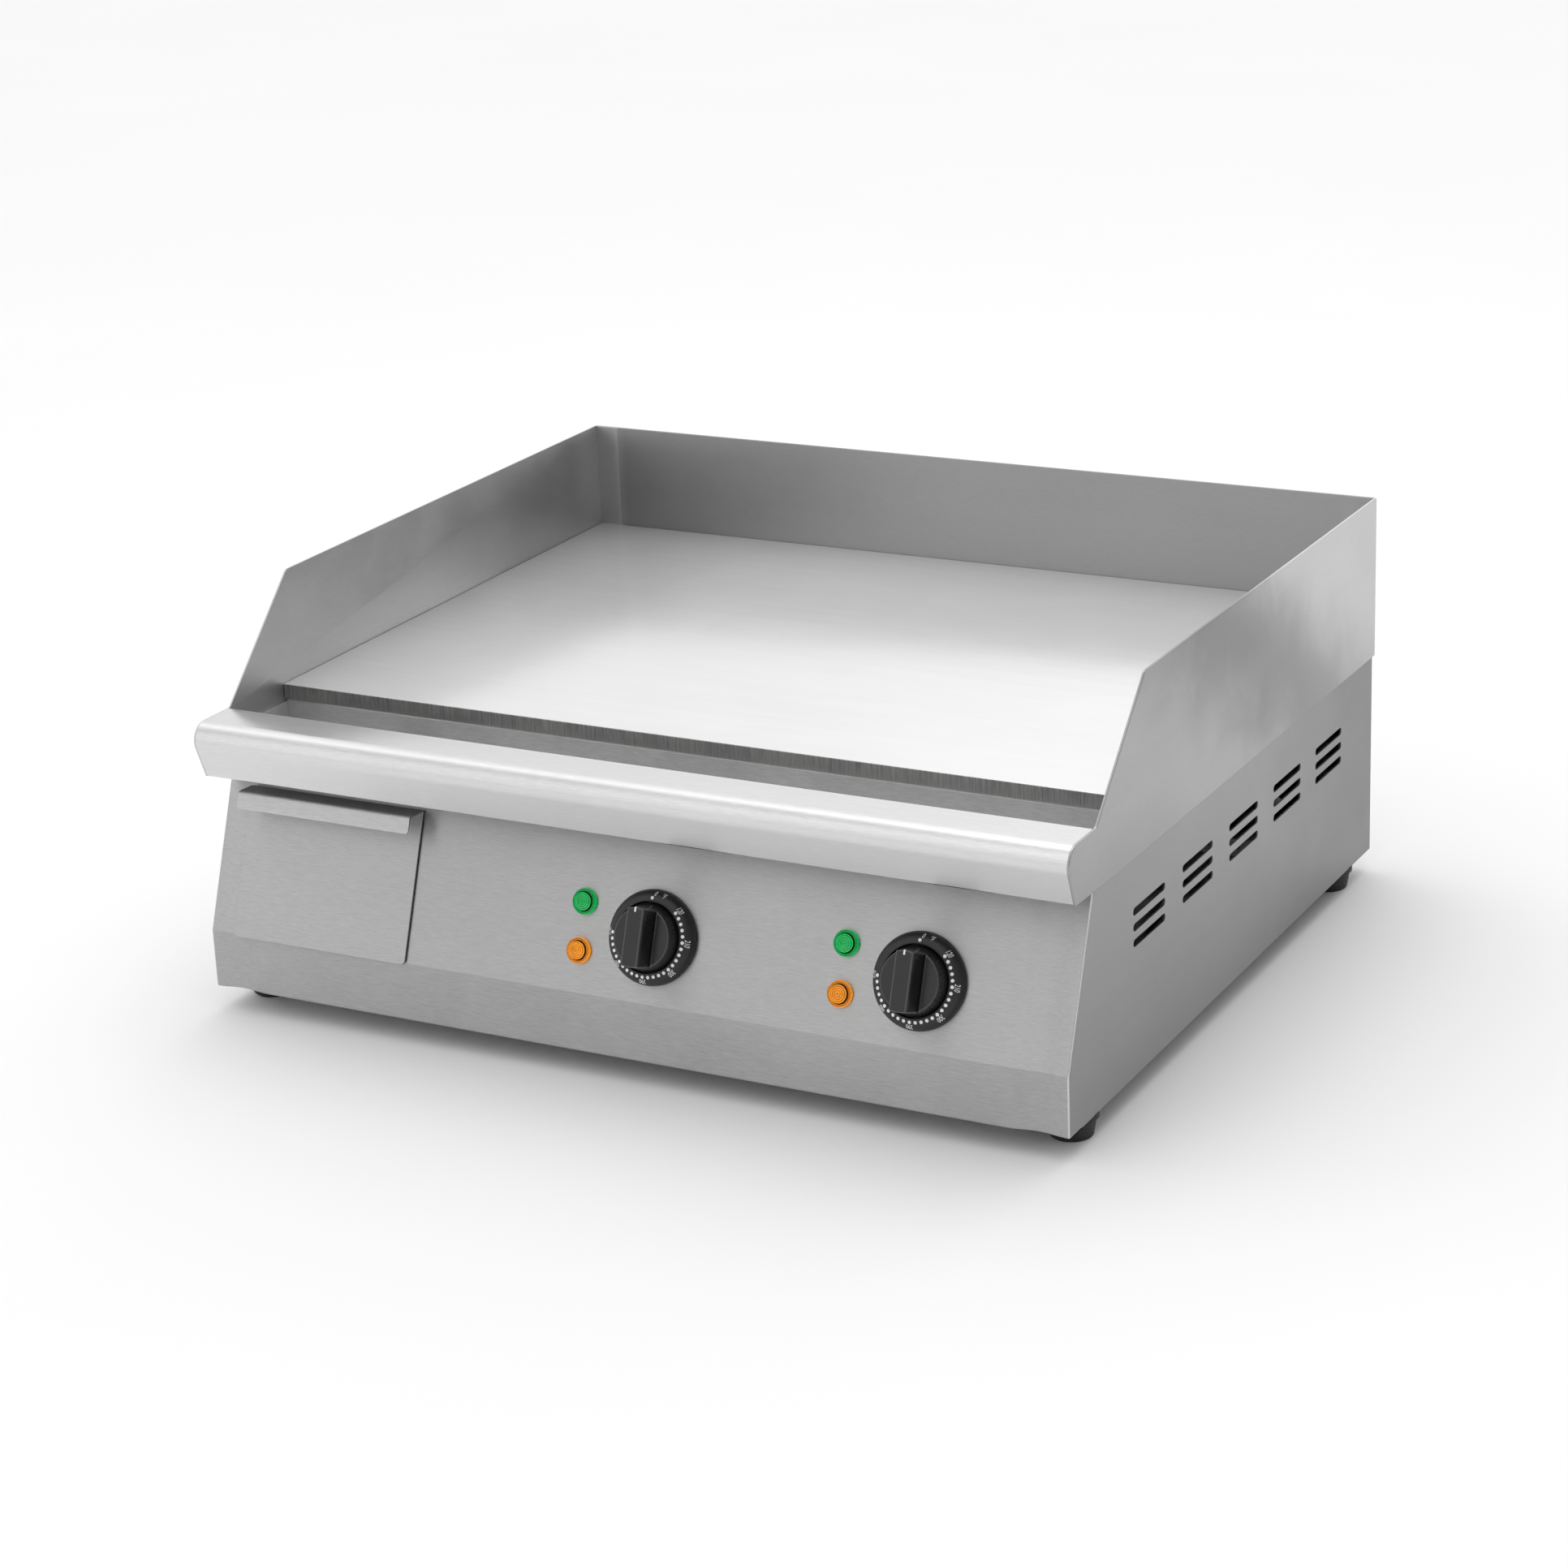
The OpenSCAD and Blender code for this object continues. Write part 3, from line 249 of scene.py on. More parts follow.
# A lighter, glossier copy of the casing steel for the panel's rounded corners: a painted highlight
edgeSteel = sheetSteel("edgeSteel", 0.72, rough=0.3)
# A lighter copy of the sheet steel for the drawer's pull lip: painted light
lipLightSteel = sheetSteel("lipLightSteel", 0.56)
# A near-black copy of the sheet steel for the ledge's underside: painted shade under the ledge
shadedUndersideSteel = sheetSteel("shadedUndersideSteel", 0.1, cloudTone=0.03)
sideSteel = sheetSteel("sideSteel", 0.32, **sideLook, rough=0.4, cloudTone=0.04, cloudRough=0.04,
                       hazeTone=0.05, along=sideShadeBands)
guardSteel = sheetSteel("guardSteel", 0.52, **sideLook, rough=0.36, cloudTone=0.03, cloudRough=0.05,
                        hazeTone=0.05)
# A darker copy of the guard steel for the right guard wall, with the bands of painted light and shade above
lightBandGuardSteel = sheetSteel("lightBandGuardSteel", 0.38, **sideLook, rough=0.36, cloudTone=0.04, cloudRough=0.05,
                       hazeTone=0.06, along=guardLightBands, slope=1.6)
backSteel = sheetSteel("backSteel", 0.33, **wallLook, rough=0.36, hazeTone=0.03)
# A lighter copy of the back wall's steel: painted light on the band beside the left wall
litBandSteel = sheetSteel("litBandSteel", 0.46, **wallLook, rough=0.36)
ledgeSteel = sheetSteel("ledgeSteel", 0.66, rough=0.2, draw=0.6, fineTone=0.06, bump=0.15)
drawerSteel = sheetSteel("drawerSteel", 0.475)
troughSteel = sheetSteel("troughSteel", 0.6, rough=0.4, cloudTone=0.05, hazeTone=0.05, draw=0.5, metal=0.6)
plateTop = sheetSteel("plateTop", 0.74, rough=0.21, fineLength=0.06, fineWidth=0.0008, fineTone=0.015,
                      cloudSize=0.09, cloudTone=0.015, hazeTone=0.02, draw=0.3, bump=0.12, metal=0.4)
plateEdge = sheetSteel("plateEdge", 0.4, color=(0.4, 0.4, 0.395, 1), brush=(0, 0, 1), fineLength=0.02,
                       fineWidth=0.0012, fineTone=0.3, cloudSize=0.03, cloudTone=0.1, hazeTone=0.12,
                       bump=0.8, draw=0.6)
zincSteel = plainMetal("zincSteel", (0.55, 0.56, 0.58, 1), 0.42, (0.02, 0.02, 0.02))
brightSteel = plainMetal("brightSteel", (0.7, 0.7, 0.7, 1), 0.28)
brassMetal = plainMetal("brassMetal", (0.72, 0.53, 0.22, 1), 0.32)
copperMetal = plainMetal("copperMetal", (0.72, 0.36, 0.2, 1), 0.35)
heaterSheath = plainMetal("heaterSheath", (0.22, 0.2, 0.19, 1), 0.55, (0.003, 0.003, 0.003), 0.4)
knobPlastic = moulded("knobPlastic", (0.01, 0.01, 0.011, 1), 0.3, 0.0005, 0.2, paintedHighlight=9.0)
dialPlastic = moulded("dialPlastic", (0.014, 0.014, 0.015, 1), 0.46, 0.0006, 0.45)
dialPaint = moulded("dialPaint", (0.82, 0.82, 0.82, 1), 0.5, 0.0004, 0.1, tone=0.04)
footRubber = moulded("footRubber", (0.012, 0.012, 0.012, 1), 0.55, 0.001, 0.35)
greenLens = lensPlastic("greenLens", (0.0, 0.55, 0.13, 1))
amberLens = lensPlastic("amberLens", (0.95, 0.38, 0.01, 1))
# Near-black plastic for a lens's groove: painted shade in the groove
grooveShade = moulded("grooveShade", (0.02, 0.022, 0.015, 1), 0.3)
lampPlastic = moulded("lampPlastic", (0.7, 0.68, 0.62, 1), 0.45)
cutoutPlastic = moulded("cutoutPlastic", (0.02, 0.02, 0.022, 1), 0.4)
redPlastic = moulded("redPlastic", (0.5, 0.02, 0.015, 1), 0.25, coat=0.3)
blockCeramic = moulded("blockCeramic", (0.75, 0.72, 0.64, 1), 0.6, 0.0009, 0.4)
wireRubber = moulded("wireRubber", (0.02, 0.02, 0.023, 1), 0.5)
glandPlastic = moulded("glandPlastic", (0.018, 0.018, 0.02, 1), 0.38)
blanketFibre = fibre("blanketFibre", (0.82, 0.8, 0.74, 1), 0.0012)
sleeveFibre = fibre("sleeveFibre", (0.62, 0.57, 0.46, 1), 0.0006)
print("materials made")


def millimetres(**sizes):
    return {name: size * mm for name, size in sizes.items()}


# A new object from points and faces, on a body and standing for CAD nodes. Faces turn smooth below the
# bend; doubles are merged, and a closed piece's faces turned outward, unless told otherwise.
def newPiece(name, points, faces, material, body, slotName, replaced=(), bend=35, extra=(),
             merge=True, turn=True):
    mesh = bpy.data.meshes.new(name)
    mesh.from_pydata(np.asarray(points, float).tolist(), [], [tuple(f) for f in faces])
    mesh.validate()
    work = bmesh.new()
    work.from_mesh(mesh)
    if merge:
        bmesh.ops.remove_doubles(work, verts=work.verts, dist=0.002 * mm)
    if turn:
        bmesh.ops.recalc_face_normals(work, faces=work.faces)
    work.to_mesh(mesh)
    work.free()
    mesh.shade_smooth()
    mesh.set_sharp_from_angle(angle=math.radians(bend))
    for m in (material, *extra):
        mesh.materials.append(m)
    piece = bpy.data.objects.new(name, mesh)
    bpy.context.scene.collection.objects.link(piece)
    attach(piece, body)
    if replaced:
        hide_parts(*replaced)
    return piece


# Gives the faces picked by a test of their normals and centres the piece's second (or given) material
def chooseMaterial(piece, test, index=1):
    faces = piece.data.polygons
    normal = np.zeros(len(faces) * 3)
    centre = np.zeros(len(faces) * 3)
    chosen = np.zeros(len(faces), np.int32)
    faces.foreach_get("normal", normal)
    faces.foreach_get("center", centre)
    faces.foreach_get("material_index", chosen)
    chosen[test(normal.reshape(-1, 3), centre.reshape(-1, 3))] = index
    faces.foreach_set("material_index", chosen)


# Quads of a grid with the given rows and columns, its columns joined round when closed
def gridFaces(rows, columns, closed=False):
    r, c = np.meshgrid(np.arange(rows - 1), np.arange(columns if closed else columns - 1), indexing="ij")
    here, above = r * columns, (r + 1) * columns
    nextC = (c + 1) % columns
    return np.stack([here + c, here + nextC, above + nextC, above + c], -1).reshape(-1, 4).tolist()


# Points of a path through corners (y, z, radius): each corner is an arc about its centre, a point
# for every step degrees
def roundedPath(corners, closed=False, step=7):
    spots = np.array(corners, float)
    points = []
    for i in range(len(spots)):
        r = spots[i, 2]
        if r == 0 or (not closed and i in (0, len(spots) - 1)):
            points.append(spots[i, :2])
            continue
        a, b, d = spots[i - 1, :2], spots[i, :2], spots[(i + 1) % len(spots), :2]
        u, v = (a - b) / np.linalg.norm(a - b), (d - b) / np.linalg.norm(d - b)
        half = math.acos(np.clip(u @ v, -1, 1)) / 2
        centre = b + (u + v) / np.linalg.norm(u + v) * r / math.sin(half)
        p, q = b + u * r / math.tan(half) - centre, b + v * r / math.tan(half) - centre
        sweep = math.atan2(p[0] * q[1] - p[1] * q[0], p @ q)
        count = max(2, int(abs(math.degrees(sweep)) / step) + 1)
        for k in range(count + 1):
            c, s = math.cos(sweep * k / count), math.sin(sweep * k / count)
            points.append(centre + [c * p[0] - s * p[1], s * p[0] + c * p[1]])
    return np.array(points)


# Unit normals to the left of a path at its points, made longer at corners so an offset keeps its distance
def leftNormals(path, closed=False):
    if closed:
        before, after = path - np.roll(path, 1, 0), np.roll(path, -1, 0) - path
    else:
        after = np.vstack([path[1:] - path[:-1], path[-1:] - path[-2:-1]])
        before = np.vstack([path[1:2] - path[0:1], path[1:] - path[:-1]])
    turn = lambda d: np.stack([-d[:, 1], d[:, 0]], 1) / np.linalg.norm(d, axis=1)[:, None]
    a, b = turn(before), turn(after)
    return (a + b) / (1 + (a * b).sum(1))[:, None]


# Closed section of a bent sheet: the path, then its other face at thickness t to the left
def sheetSection(path, t):
    return np.vstack([path, (path + t * leftNormals(path))[::-1]])


# A flat outline in y and z carried along x from x0 to x1, both ends' edges rounded to a quarter circle:
# each ring is the outline drawn in by r (1 - sin t), at the distance r (1 - cos t) from the end
def edgedPlate(outline, x0, x1, r0, r1, steps=3):
    path = np.asarray(outline, float)
    area = (path[:, 0] * np.roll(path[:, 1], -1) - np.roll(path[:, 0], -1) * path[:, 1]).sum()
    inward = leftNormals(path, True) * (1 if area > 0 else -1)
    t = np.linspace(0, math.pi / 2, steps + 1)
    draws = [(r0 * (1 - math.sin(a)), x0 + r0 * (1 - math.cos(a))) for a in t]
    draws += [(r1 * (1 - math.sin(a)), x1 - r1 * (1 - math.cos(a))) for a in t[::-1]]
    rings = [np.column_stack([np.full(len(path), x), path + inward * d]) for d, x in draws]
    count = len(path)
    faces = gridFaces(len(rings), count, True)
    faces += [list(range(count))[::-1], list(range((len(rings) - 1) * count, len(rings) * count))]
    return np.vstack(rings), faces


# Several shapes joined as one mesh
def joined(*parts):
    points, faces, start = [], [], 0
    for p, f in parts:
        points.append(p)
        faces += [[i + start for i in face] for face in f]
        start += len(p)
    return np.vstack(points), faces


# Faces of an open sheet, those that look away from a direction turned over
def facing(points, faces, direction):
    def area(face):
        corners = points[face]
        return np.cross(corners, np.roll(corners, -1, 0)).sum(0)
    return [face if area(face) @ direction > 0 else face[::-1] for face in faces]


# A profile of (radius, height) turned about its own axis
def turned(profile, steps=96):
    r, h = np.array(profile, float).T[:, :, None]
    a = np.linspace(0, 2 * math.pi, steps, endpoint=False)
    points = np.stack([r * np.cos(a), r * np.sin(a), np.repeat(h, steps, 1)], -1)
    return points.reshape(-1, 3), gridFaces(len(profile), steps, True)


# The panel's own axes at a point: x across, y up the panel, z out towards the user
joint = {j["name"]: j for j in frame["joints"]}
outward = -np.array(joint["left_knob_turn"]["axis"], float)
outward /= np.linalg.norm(outward)
upPanel = np.cross(outward, [1, 0, 0])


def onPanel(points, place):
    p = np.asarray(points, float)
    return np.asarray(place) + p[:, :1] * [1, 0, 0] + p[:, 1:2] * upPanel + p[:, 2:3] * outward


# Distance of points from the line through a place, square to the panel
def fromAxis(points, place):
    away = points - place
    return np.linalg.norm(away - (away @ outward)[:, None] * outward, axis=1)


# A copy of a CAD node with its doubles merged and its edges softened
def softened(node, body, material, width, limit):
    work = bmesh.new()
    work.from_mesh(nodes[node].data)
    bmesh.ops.remove_doubles(work, verts=work.verts, dist=0.001 * mm)
    bmesh.ops.dissolve_limit(work, angle_limit=math.radians(0.6), verts=work.verts, edges=work.edges)
    mesh = bpy.data.meshes.new("soft_" + node)
    work.to_mesh(mesh)
    work.free()
    mesh.shade_smooth()
    mesh.set_sharp_from_angle(angle=math.radians(limit))
    mesh.materials.clear()
    mesh.materials.append(material)
    piece = bpy.data.objects.new("soft_" + node, mesh)
    bpy.context.scene.collection.objects.link(piece)
    edge = piece.modifiers.new("edge", "BEVEL")
    edge.width, edge.segments = width, 2
    edge.limit_method, edge.angle_limit = "ANGLE", math.radians(limit)
    edge.use_clamp_overlap = True
    edge.harden_normals = True
    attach(piece, body)
    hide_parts(node)
    return piece


guard = millimetres(sheet=1.5, slopeTop=113.5, ledgeBack=41, ledgeFace=10.9, ledgeBottom=155,
                    ledgeTop=191.5, noseRadius=11.5, edge=0.45, skirtRun=45, ledgeDrop=12, ledgeReturn=36.6)
guardLow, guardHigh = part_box("splash_guard")
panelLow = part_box("control_panel")[0]
frontY, bottomZ = panelLow.y, panelLow.z
lean = math.atan2(outward[2], -outward[1])
noseY = guard["ledgeFace"] - (guard["ledgeTop"] - guard["ledgeBottom"]) * math.tan(lean)
backY = guardHigh.y
half = guardHigh.x
inner = half - guard["sheet"]
ledgeBackY, ledgeFaceY = frontY + guard["ledgeBack"], frontY + guard["ledgeFace"]
nose = (frontY + noseY, guard["ledgeTop"], guard["noseRadius"])


# Side wall's outline from the lower back corner round: up, forward, down the slope, over the ledge's nose
# and back along the skirt
def sideWall(x0, x1, r0, r1):
    outline = roundedPath([
        (backY, guardLow.z, 1.2 * mm), (backY, guardHigh.z, 1.5 * mm),
        (frontY + guard["slopeTop"], guardHigh.z, 5 * mm), (ledgeBackY, guard["ledgeTop"], 4 * mm), nose,
        (ledgeFaceY, guard["ledgeBottom"], 1 * mm),
        (ledgeFaceY + guard["skirtRun"], guardLow.z, 0.5 * mm)], closed=True)
    return edgedPlate(outline, x0, x1, r0, r1)


outerEdge, innerEdge = guard["edge"] * 1.5, guard["edge"] * 0.2
newPiece("guardLeft", *sideWall(-half, -inner, outerEdge, innerEdge), guardSteel, "casing", "guard_steel",
         ["splash_guard"])
# The right wall gets the darker steel with its bands of painted light and shade
newPiece("guardRight", *sideWall(inner, half, innerEdge, outerEdge), lightBandGuardSteel, "casing", "guard_steel")

backShape = {"band": 18 * mm, "depth": 0.7 * mm, "topRadius": 0.5 * mm, "cornerShare": 0.35,
             "fadeFrom": 0.75, "fadeOver": 0.5, "reach": 1.6, "columns": 14}


# Back wall: an upright slab whose inner face stands a little proud in a band beside each side wall,
# by a height that falls with a smooth step 3 s^2 - 2 s^3 from the corner inwards
def backWall():
    b = backShape
    corner = np.linspace(-inner, -inner + b["reach"] * b["band"], b["columns"])
    x = np.concatenate([corner, -corner[::-1]])
    away = (inner - np.abs(x)) / b["band"]
    s = np.clip((away - b["fadeFrom"]) / b["fadeOver"], 0, 1)
    grown = b["cornerShare"] + (1 - b["cornerShare"]) * np.clip(away, 0, 1)
    rise = b["depth"] * (1 - s * s * (3 - 2 * s)) * grown
    r = b["topRadius"]
    t = np.linspace(0, math.pi / 2, 4)
    z = np.concatenate([[guardLow.z], guardHigh.z - r + r * np.sin(t)])
    drawn = np.concatenate([[0], r * (1 - np.cos(t))])[:, None]
    columns = len(x)
    wideX, wideZ = np.tile(x, (len(z), 1)), np.tile(z[:, None], (1, columns))
    front = np.stack([wideX, backY - guard["sheet"] - rise[None, :] + drawn, wideZ], -1)
    rear = np.stack([wideX, np.tile(backY - drawn, (1, columns)), wideZ], -1)[::-1]
    grid = np.concatenate([front, rear], 0)
    rows = len(grid)
    last = (rows - 1) * columns
    faces = gridFaces(rows, columns)
    faces += [[last + i, last + i + 1, i + 1, i] for i in range(columns - 1)]
    faces += [[i * columns for i in range(rows)][::-1], [i * columns + columns - 1 for i in range(rows)]]
    return grid.reshape(-1, 3), faces


backPiece = newPiece("guardBack", *backWall(), backSteel, "casing", "guard_steel", bend=50,
                     extra=[litBandSteel])
# The left band's inner face gets the lighter copy of the back steel: painted light
bandEnd = backShape["band"] - inner  # the left band's inner face gets its own steel
chooseMaterial(backPiece, lambda normal, c: (c[:, 0] < bandEnd) & (normal[:, 1] < -0.5))

ledgePath = roundedPath([
    (ledgeBackY, guard["ledgeTop"] - guard["ledgeDrop"], 0), (ledgeBackY, guard["ledgeTop"], 2.2 * mm),
    nose, (ledgeFaceY, guard["ledgeBottom"], 2 * mm),
    (frontY + guard["ledgeReturn"], guard["ledgeBottom"], 0)], step=4)
ledgeSheet = edgedPlate(sheetSection(ledgePath, guard["sheet"]), -inner, inner, 0, 0)
ledge = newPiece("frontLedge", *ledgeSheet, ledgeSteel, "casing", "ledge_steel", ["front_ledge"], bend=30,
                 extra=[shadedUndersideSteel])
# The ledge's underside gets the near-black steel: painted shade
chooseMaterial(ledge, lambda normal, c: normal[:, 2] < -0.9)  # the underside
print("guard and ledge made")

plate = millimetres(thickness=10, edge=0.6, endEdge=0.4)
plateLow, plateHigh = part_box("griddle_plate")
plateFoot = plateHigh.z - plate["thickness"]
plateBox = roundedPath([(plateLow.y, plateFoot, plate["edge"]), (plateHigh.y, plateFoot, 0),
                        (plateHigh.y, plateHigh.z, plate["edge"]), (plateLow.y, plateHigh.z, plate["edge"])],
                       closed=True, step=20)
plateSlab = edgedPlate(plateBox, plateLow.x, plateHigh.x, plate["endEdge"], plate["endEdge"])
cookingPlate = newPiece("cookingPlate", *plateSlab, plateTop, "casing", "plate_steel", ["griddle_plate"],
                        extra=[plateEdge])
chooseMaterial(cookingPlate, lambda normal, c: np.abs(normal[:, 1]) > 0.7)  # its front and back edges
print("plate made")

panel = millimetres(bend=54.5, corner=1.15, sheet=1.2, topZ=154.3, topReturn=12, topRadius=2, bendRadius=2.5,
                    footRadius=1.6, flange=18, dip=1.2, dipWidth=20, least=0.05, holeGap=2,
                    bodyTop=148.7, bodyBack=109)


# Where the leaning face stands at a height
def panelY(z):
    return frontY + (z - panel["bend"]) * math.tan(lean)


# Front panel: the bent path swept across; near both ends the face sinks by dip (1 - cos) / 2,
# then turns back through a quarter circle to meet the sides
def frontPanel():
    p = panel
    trayLow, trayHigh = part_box("drawer_tray")
    holeX = (trayLow.x - p["holeGap"], trayHigh.x + p["holeGap"])
    holeZ = (trayHigh.z + p["holeGap"], trayLow.z - p["holeGap"])
    path = roundedPath([
        (panelY(p["topZ"]) + p["topReturn"], p["topZ"], 0), (panelY(p["topZ"]), p["topZ"], p["topRadius"]),
        *[(panelY(z), z, 0) for z in holeZ], (frontY, p["bend"], p["bendRadius"]),
        (frontY, bottomZ, p["footRadius"]), (frontY + p["flange"], bottomZ, 0)])
    normals = leftNormals(path)
    t = np.linspace(0, math.pi / 2, 6)
    edgeX, edgeIn = inner - p["corner"] * (1 - np.cos(t)), p["corner"] * (1 - np.sin(t))
    dipEnd = inner - 2 * p["dipWidth"]
    middle = np.concatenate([np.linspace(edgeX[-1], dipEnd, 25)[1:], [100 * mm, 0]])
    x = np.concatenate([edgeX, middle])
    near = np.clip((x - dipEnd) / (2 * p["dipWidth"]), 0, 1)
    sink = np.concatenate([edgeIn, np.zeros(len(middle))]) + p["dip"] * (1 - np.cos(near * 2 * math.pi)) / 2
    x, sink = np.concatenate([-x[:-1], x[::-1]]), np.concatenate([sink[:-1], sink[::-1]])
    allX = np.sort(np.concatenate([x, holeX]))
    depth = np.repeat(np.interp(allX, x, sink)[:, None], len(path), 1)
    outer = path[None] + normals[None] * depth[..., None]
    behind = path[None] + normals[None] * np.maximum(p["sheet"], depth + p["least"])[..., None]
    section = np.concatenate([outer, behind[:, ::-1]], 1)
    rows, columns = section.shape[:2]
    across = np.broadcast_to(allX[:, None, None], (rows, columns, 1))
    points = np.concatenate([across, section], -1).reshape(-1, 3)
    # The drawer's opening: cells between its edges go, and a rim joins the outer face to the inner one
    row = np.searchsorted(allX, holeX)
    column = [int(np.abs(path[:, 1] - z).argmin()) for z in holeZ]
    within = lambda c: (c >= column[0]) & (c < column[1])
    r, c = np.divmod(np.arange((rows - 1) * columns), columns)
    cut = (r >= row[0]) & (r < row[1]) & (within(c) | within(columns - 2 - c))
    faces = [quad for quad, gone in zip(gridFaces(rows, columns, True), cut) if not gone]
    through = lambda i, j: [i * columns + j, i * columns + columns - 1 - j]
    for j in column:
        faces += [through(i, j) + through(i + 1, j)[::-1] for i in range(row[0], row[1])]
    for i in row:
        faces += [through(i, j) + through(i, j + 1)[::-1] for j in range(column[0], column[1])]
    return points, faces + [list(range(columns))[::-1], list(range((rows - 1) * columns, rows * columns))]


frontSheet = newPiece("frontPanel", *frontPanel(), casingSteel, "casing", "casing_steel", ["control_panel"],
                      bend=50, extra=[shadedUprightSteel, edgeSteel])
# The upright strip gets the darker copy of the steel: painted shade below the bend
chooseMaterial(frontSheet, lambda normal, c: normal[:, 2] < 0.12)  # the upright strip below the bend
aside = lambda normal: np.abs(normal[:, 0])  # small on the face, 1 on the flat ends, between on the rounding
# The rounded corners get the lighter steel: a painted highlight along them
chooseMaterial(frontSheet, lambda normal, c: (aside(normal) > 0.25) & (aside(normal) < 0.9), 2)


# Strips of the body sides that run up behind the ends of the ledge
def sideTops():
    stripTop = guardLow.z + 2 * mm
    bodyBackY = frontY + panel["bodyBack"]
    outline = roundedPath([(panelY(panel["bodyTop"]) + 1.3 * mm, panel["bodyTop"], 0),
                           (bodyBackY, panel["bodyTop"], 0), (bodyBackY, stripTop, 0),
                           (panelY(guardLow.z) + 3 * mm, stripTop, 0)], closed=True)
    far = inner - panel["sheet"]
    return joined(edgedPlate(outline, -inner, -far, 0, 0), edgedPlate(outline, far, inner, 0, 0))


newPiece("sideTops", *sideTops(), sideSteel, "casing", "casing_steel")
print("front panel made")

knobShape = millimetres(baseRadius=20.8, faceRadius=18.9, faceHeight=16.3, low=2.6, top=27.5, gripWidth=11,
                        gripEnd=18.4, shoulder=0.8, fillet=1.6, ringHeight=8.6, channelWidth=3.6,
                        channelDepth=1.3, channelEdge=1.6, rim=0.9, foot=0.6, mouth=4, bore=3.1, boreTop=14)
# Painted highlight lines on the knob's edges: how far each lies inside its edge, and its width, in millimetres
highlightLines = {"grip": (0.35, 0.4), "end": (0.4, 0.45), "channel": (0.3, 0.4), "rim": (0.5, 0.4)}
pointerShape = millimetres(halfWidth=0.6, start=15.4, end=18.4, shift=0.04, lift=0.05)
dialShape = millimetres(radius=29.2, edge=1.4, slope=6.6, rise=7.2, bore=21.7, shaftHole=5.5, floor=2.2,
                        dotRadius=24, dotSize=1.05, dotLift=0.05, textRadius=26.8, textHeight=2.7,
                        textLift=0.09)
dialScale = {"firstDot": 45, "dotStep": 9, "dots": 26, "numerals": [
    ("0", 3), ("°F", 15), ("120", 45), ("210", 90), ("300", 135), ("390", 180), ("480", 225), ("570", 270)]}
digits = {"height": 0.72, "narrowed": 0.82, "slant": 0.22, "longestEdge": 0.12}  # in parts of the font's size
lensShape = millimetres(domeRadius=5.65, domeFoot=3.1, domeRise=1.35, wave=0.16, waveLength=1.15,
                        groove=5.85, grooveHalf=0.35)


# Height of the knob over the panel: the flat face and the grip bar joined by a smooth maximum,
# where the bar's flanks and ends fall away as steep rounded shoulders
def knobHeight(x, y):
    k = knobShape
    r = np.hypot(x, y)
    shoulder = k["shoulder"]
    side = np.clip((np.abs(x) - (k["gripWidth"] / 2 - shoulder)) / shoulder, 0, None)
    end = np.clip((r - (k["gripEnd"] - shoulder)) / shoulder, 0, None)
    over = np.hypot(side, end)
    bar = k["top"] - shoulder * (1 - np.sqrt(1 - np.minimum(over, 1.0) ** 2))
    bar = bar - np.clip(over - 1.0, 0, None) * shoulder * 6.0
    channelEnd = k["gripWidth"] / 2 + k["channelWidth"]
    beside = np.clip((np.abs(x) - channelEnd + k["channelEdge"]) / k["channelEdge"], 0, 1)
    face = k["faceHeight"] - k["channelDepth"] * (1 - np.sqrt(np.clip(1 - (1 - beside) ** 2, 0, 1)))
    f = k["fillet"]
    h = np.clip(0.5 + 0.5 * (bar - face) / f, 0, 1)
    return face * (1 - h) + bar * h + f * h * (1 - h) * 0.5


# Painted highlight on the knob's edges: 1 along the grip's upper edges, less at the channel's outer edge and
# the face's rim, falling off as a bell curve to each side
def knobHighlight(x, y):
    k = knobShape
    r = np.hypot(x, y)
    beside = np.abs(x) - k["gripWidth"] / 2

    def line(part, away):
        inset, width = highlightLines[part]
        return np.exp(-((away + inset * mm) / (width * mm)) ** 2)

    grip = line("grip", beside) * (r < k["gripEnd"])
    end = line("end", r - k["gripEnd"]) * (beside < 0)
    channel = line("channel", beside - k["channelWidth"]) * (r < k["faceRadius"])
    rim = line("rim", r - k["faceRadius"]) * (beside > 0)
    return np.maximum.reduce([grip, end, 0.8 * channel, 0.6 * rim])


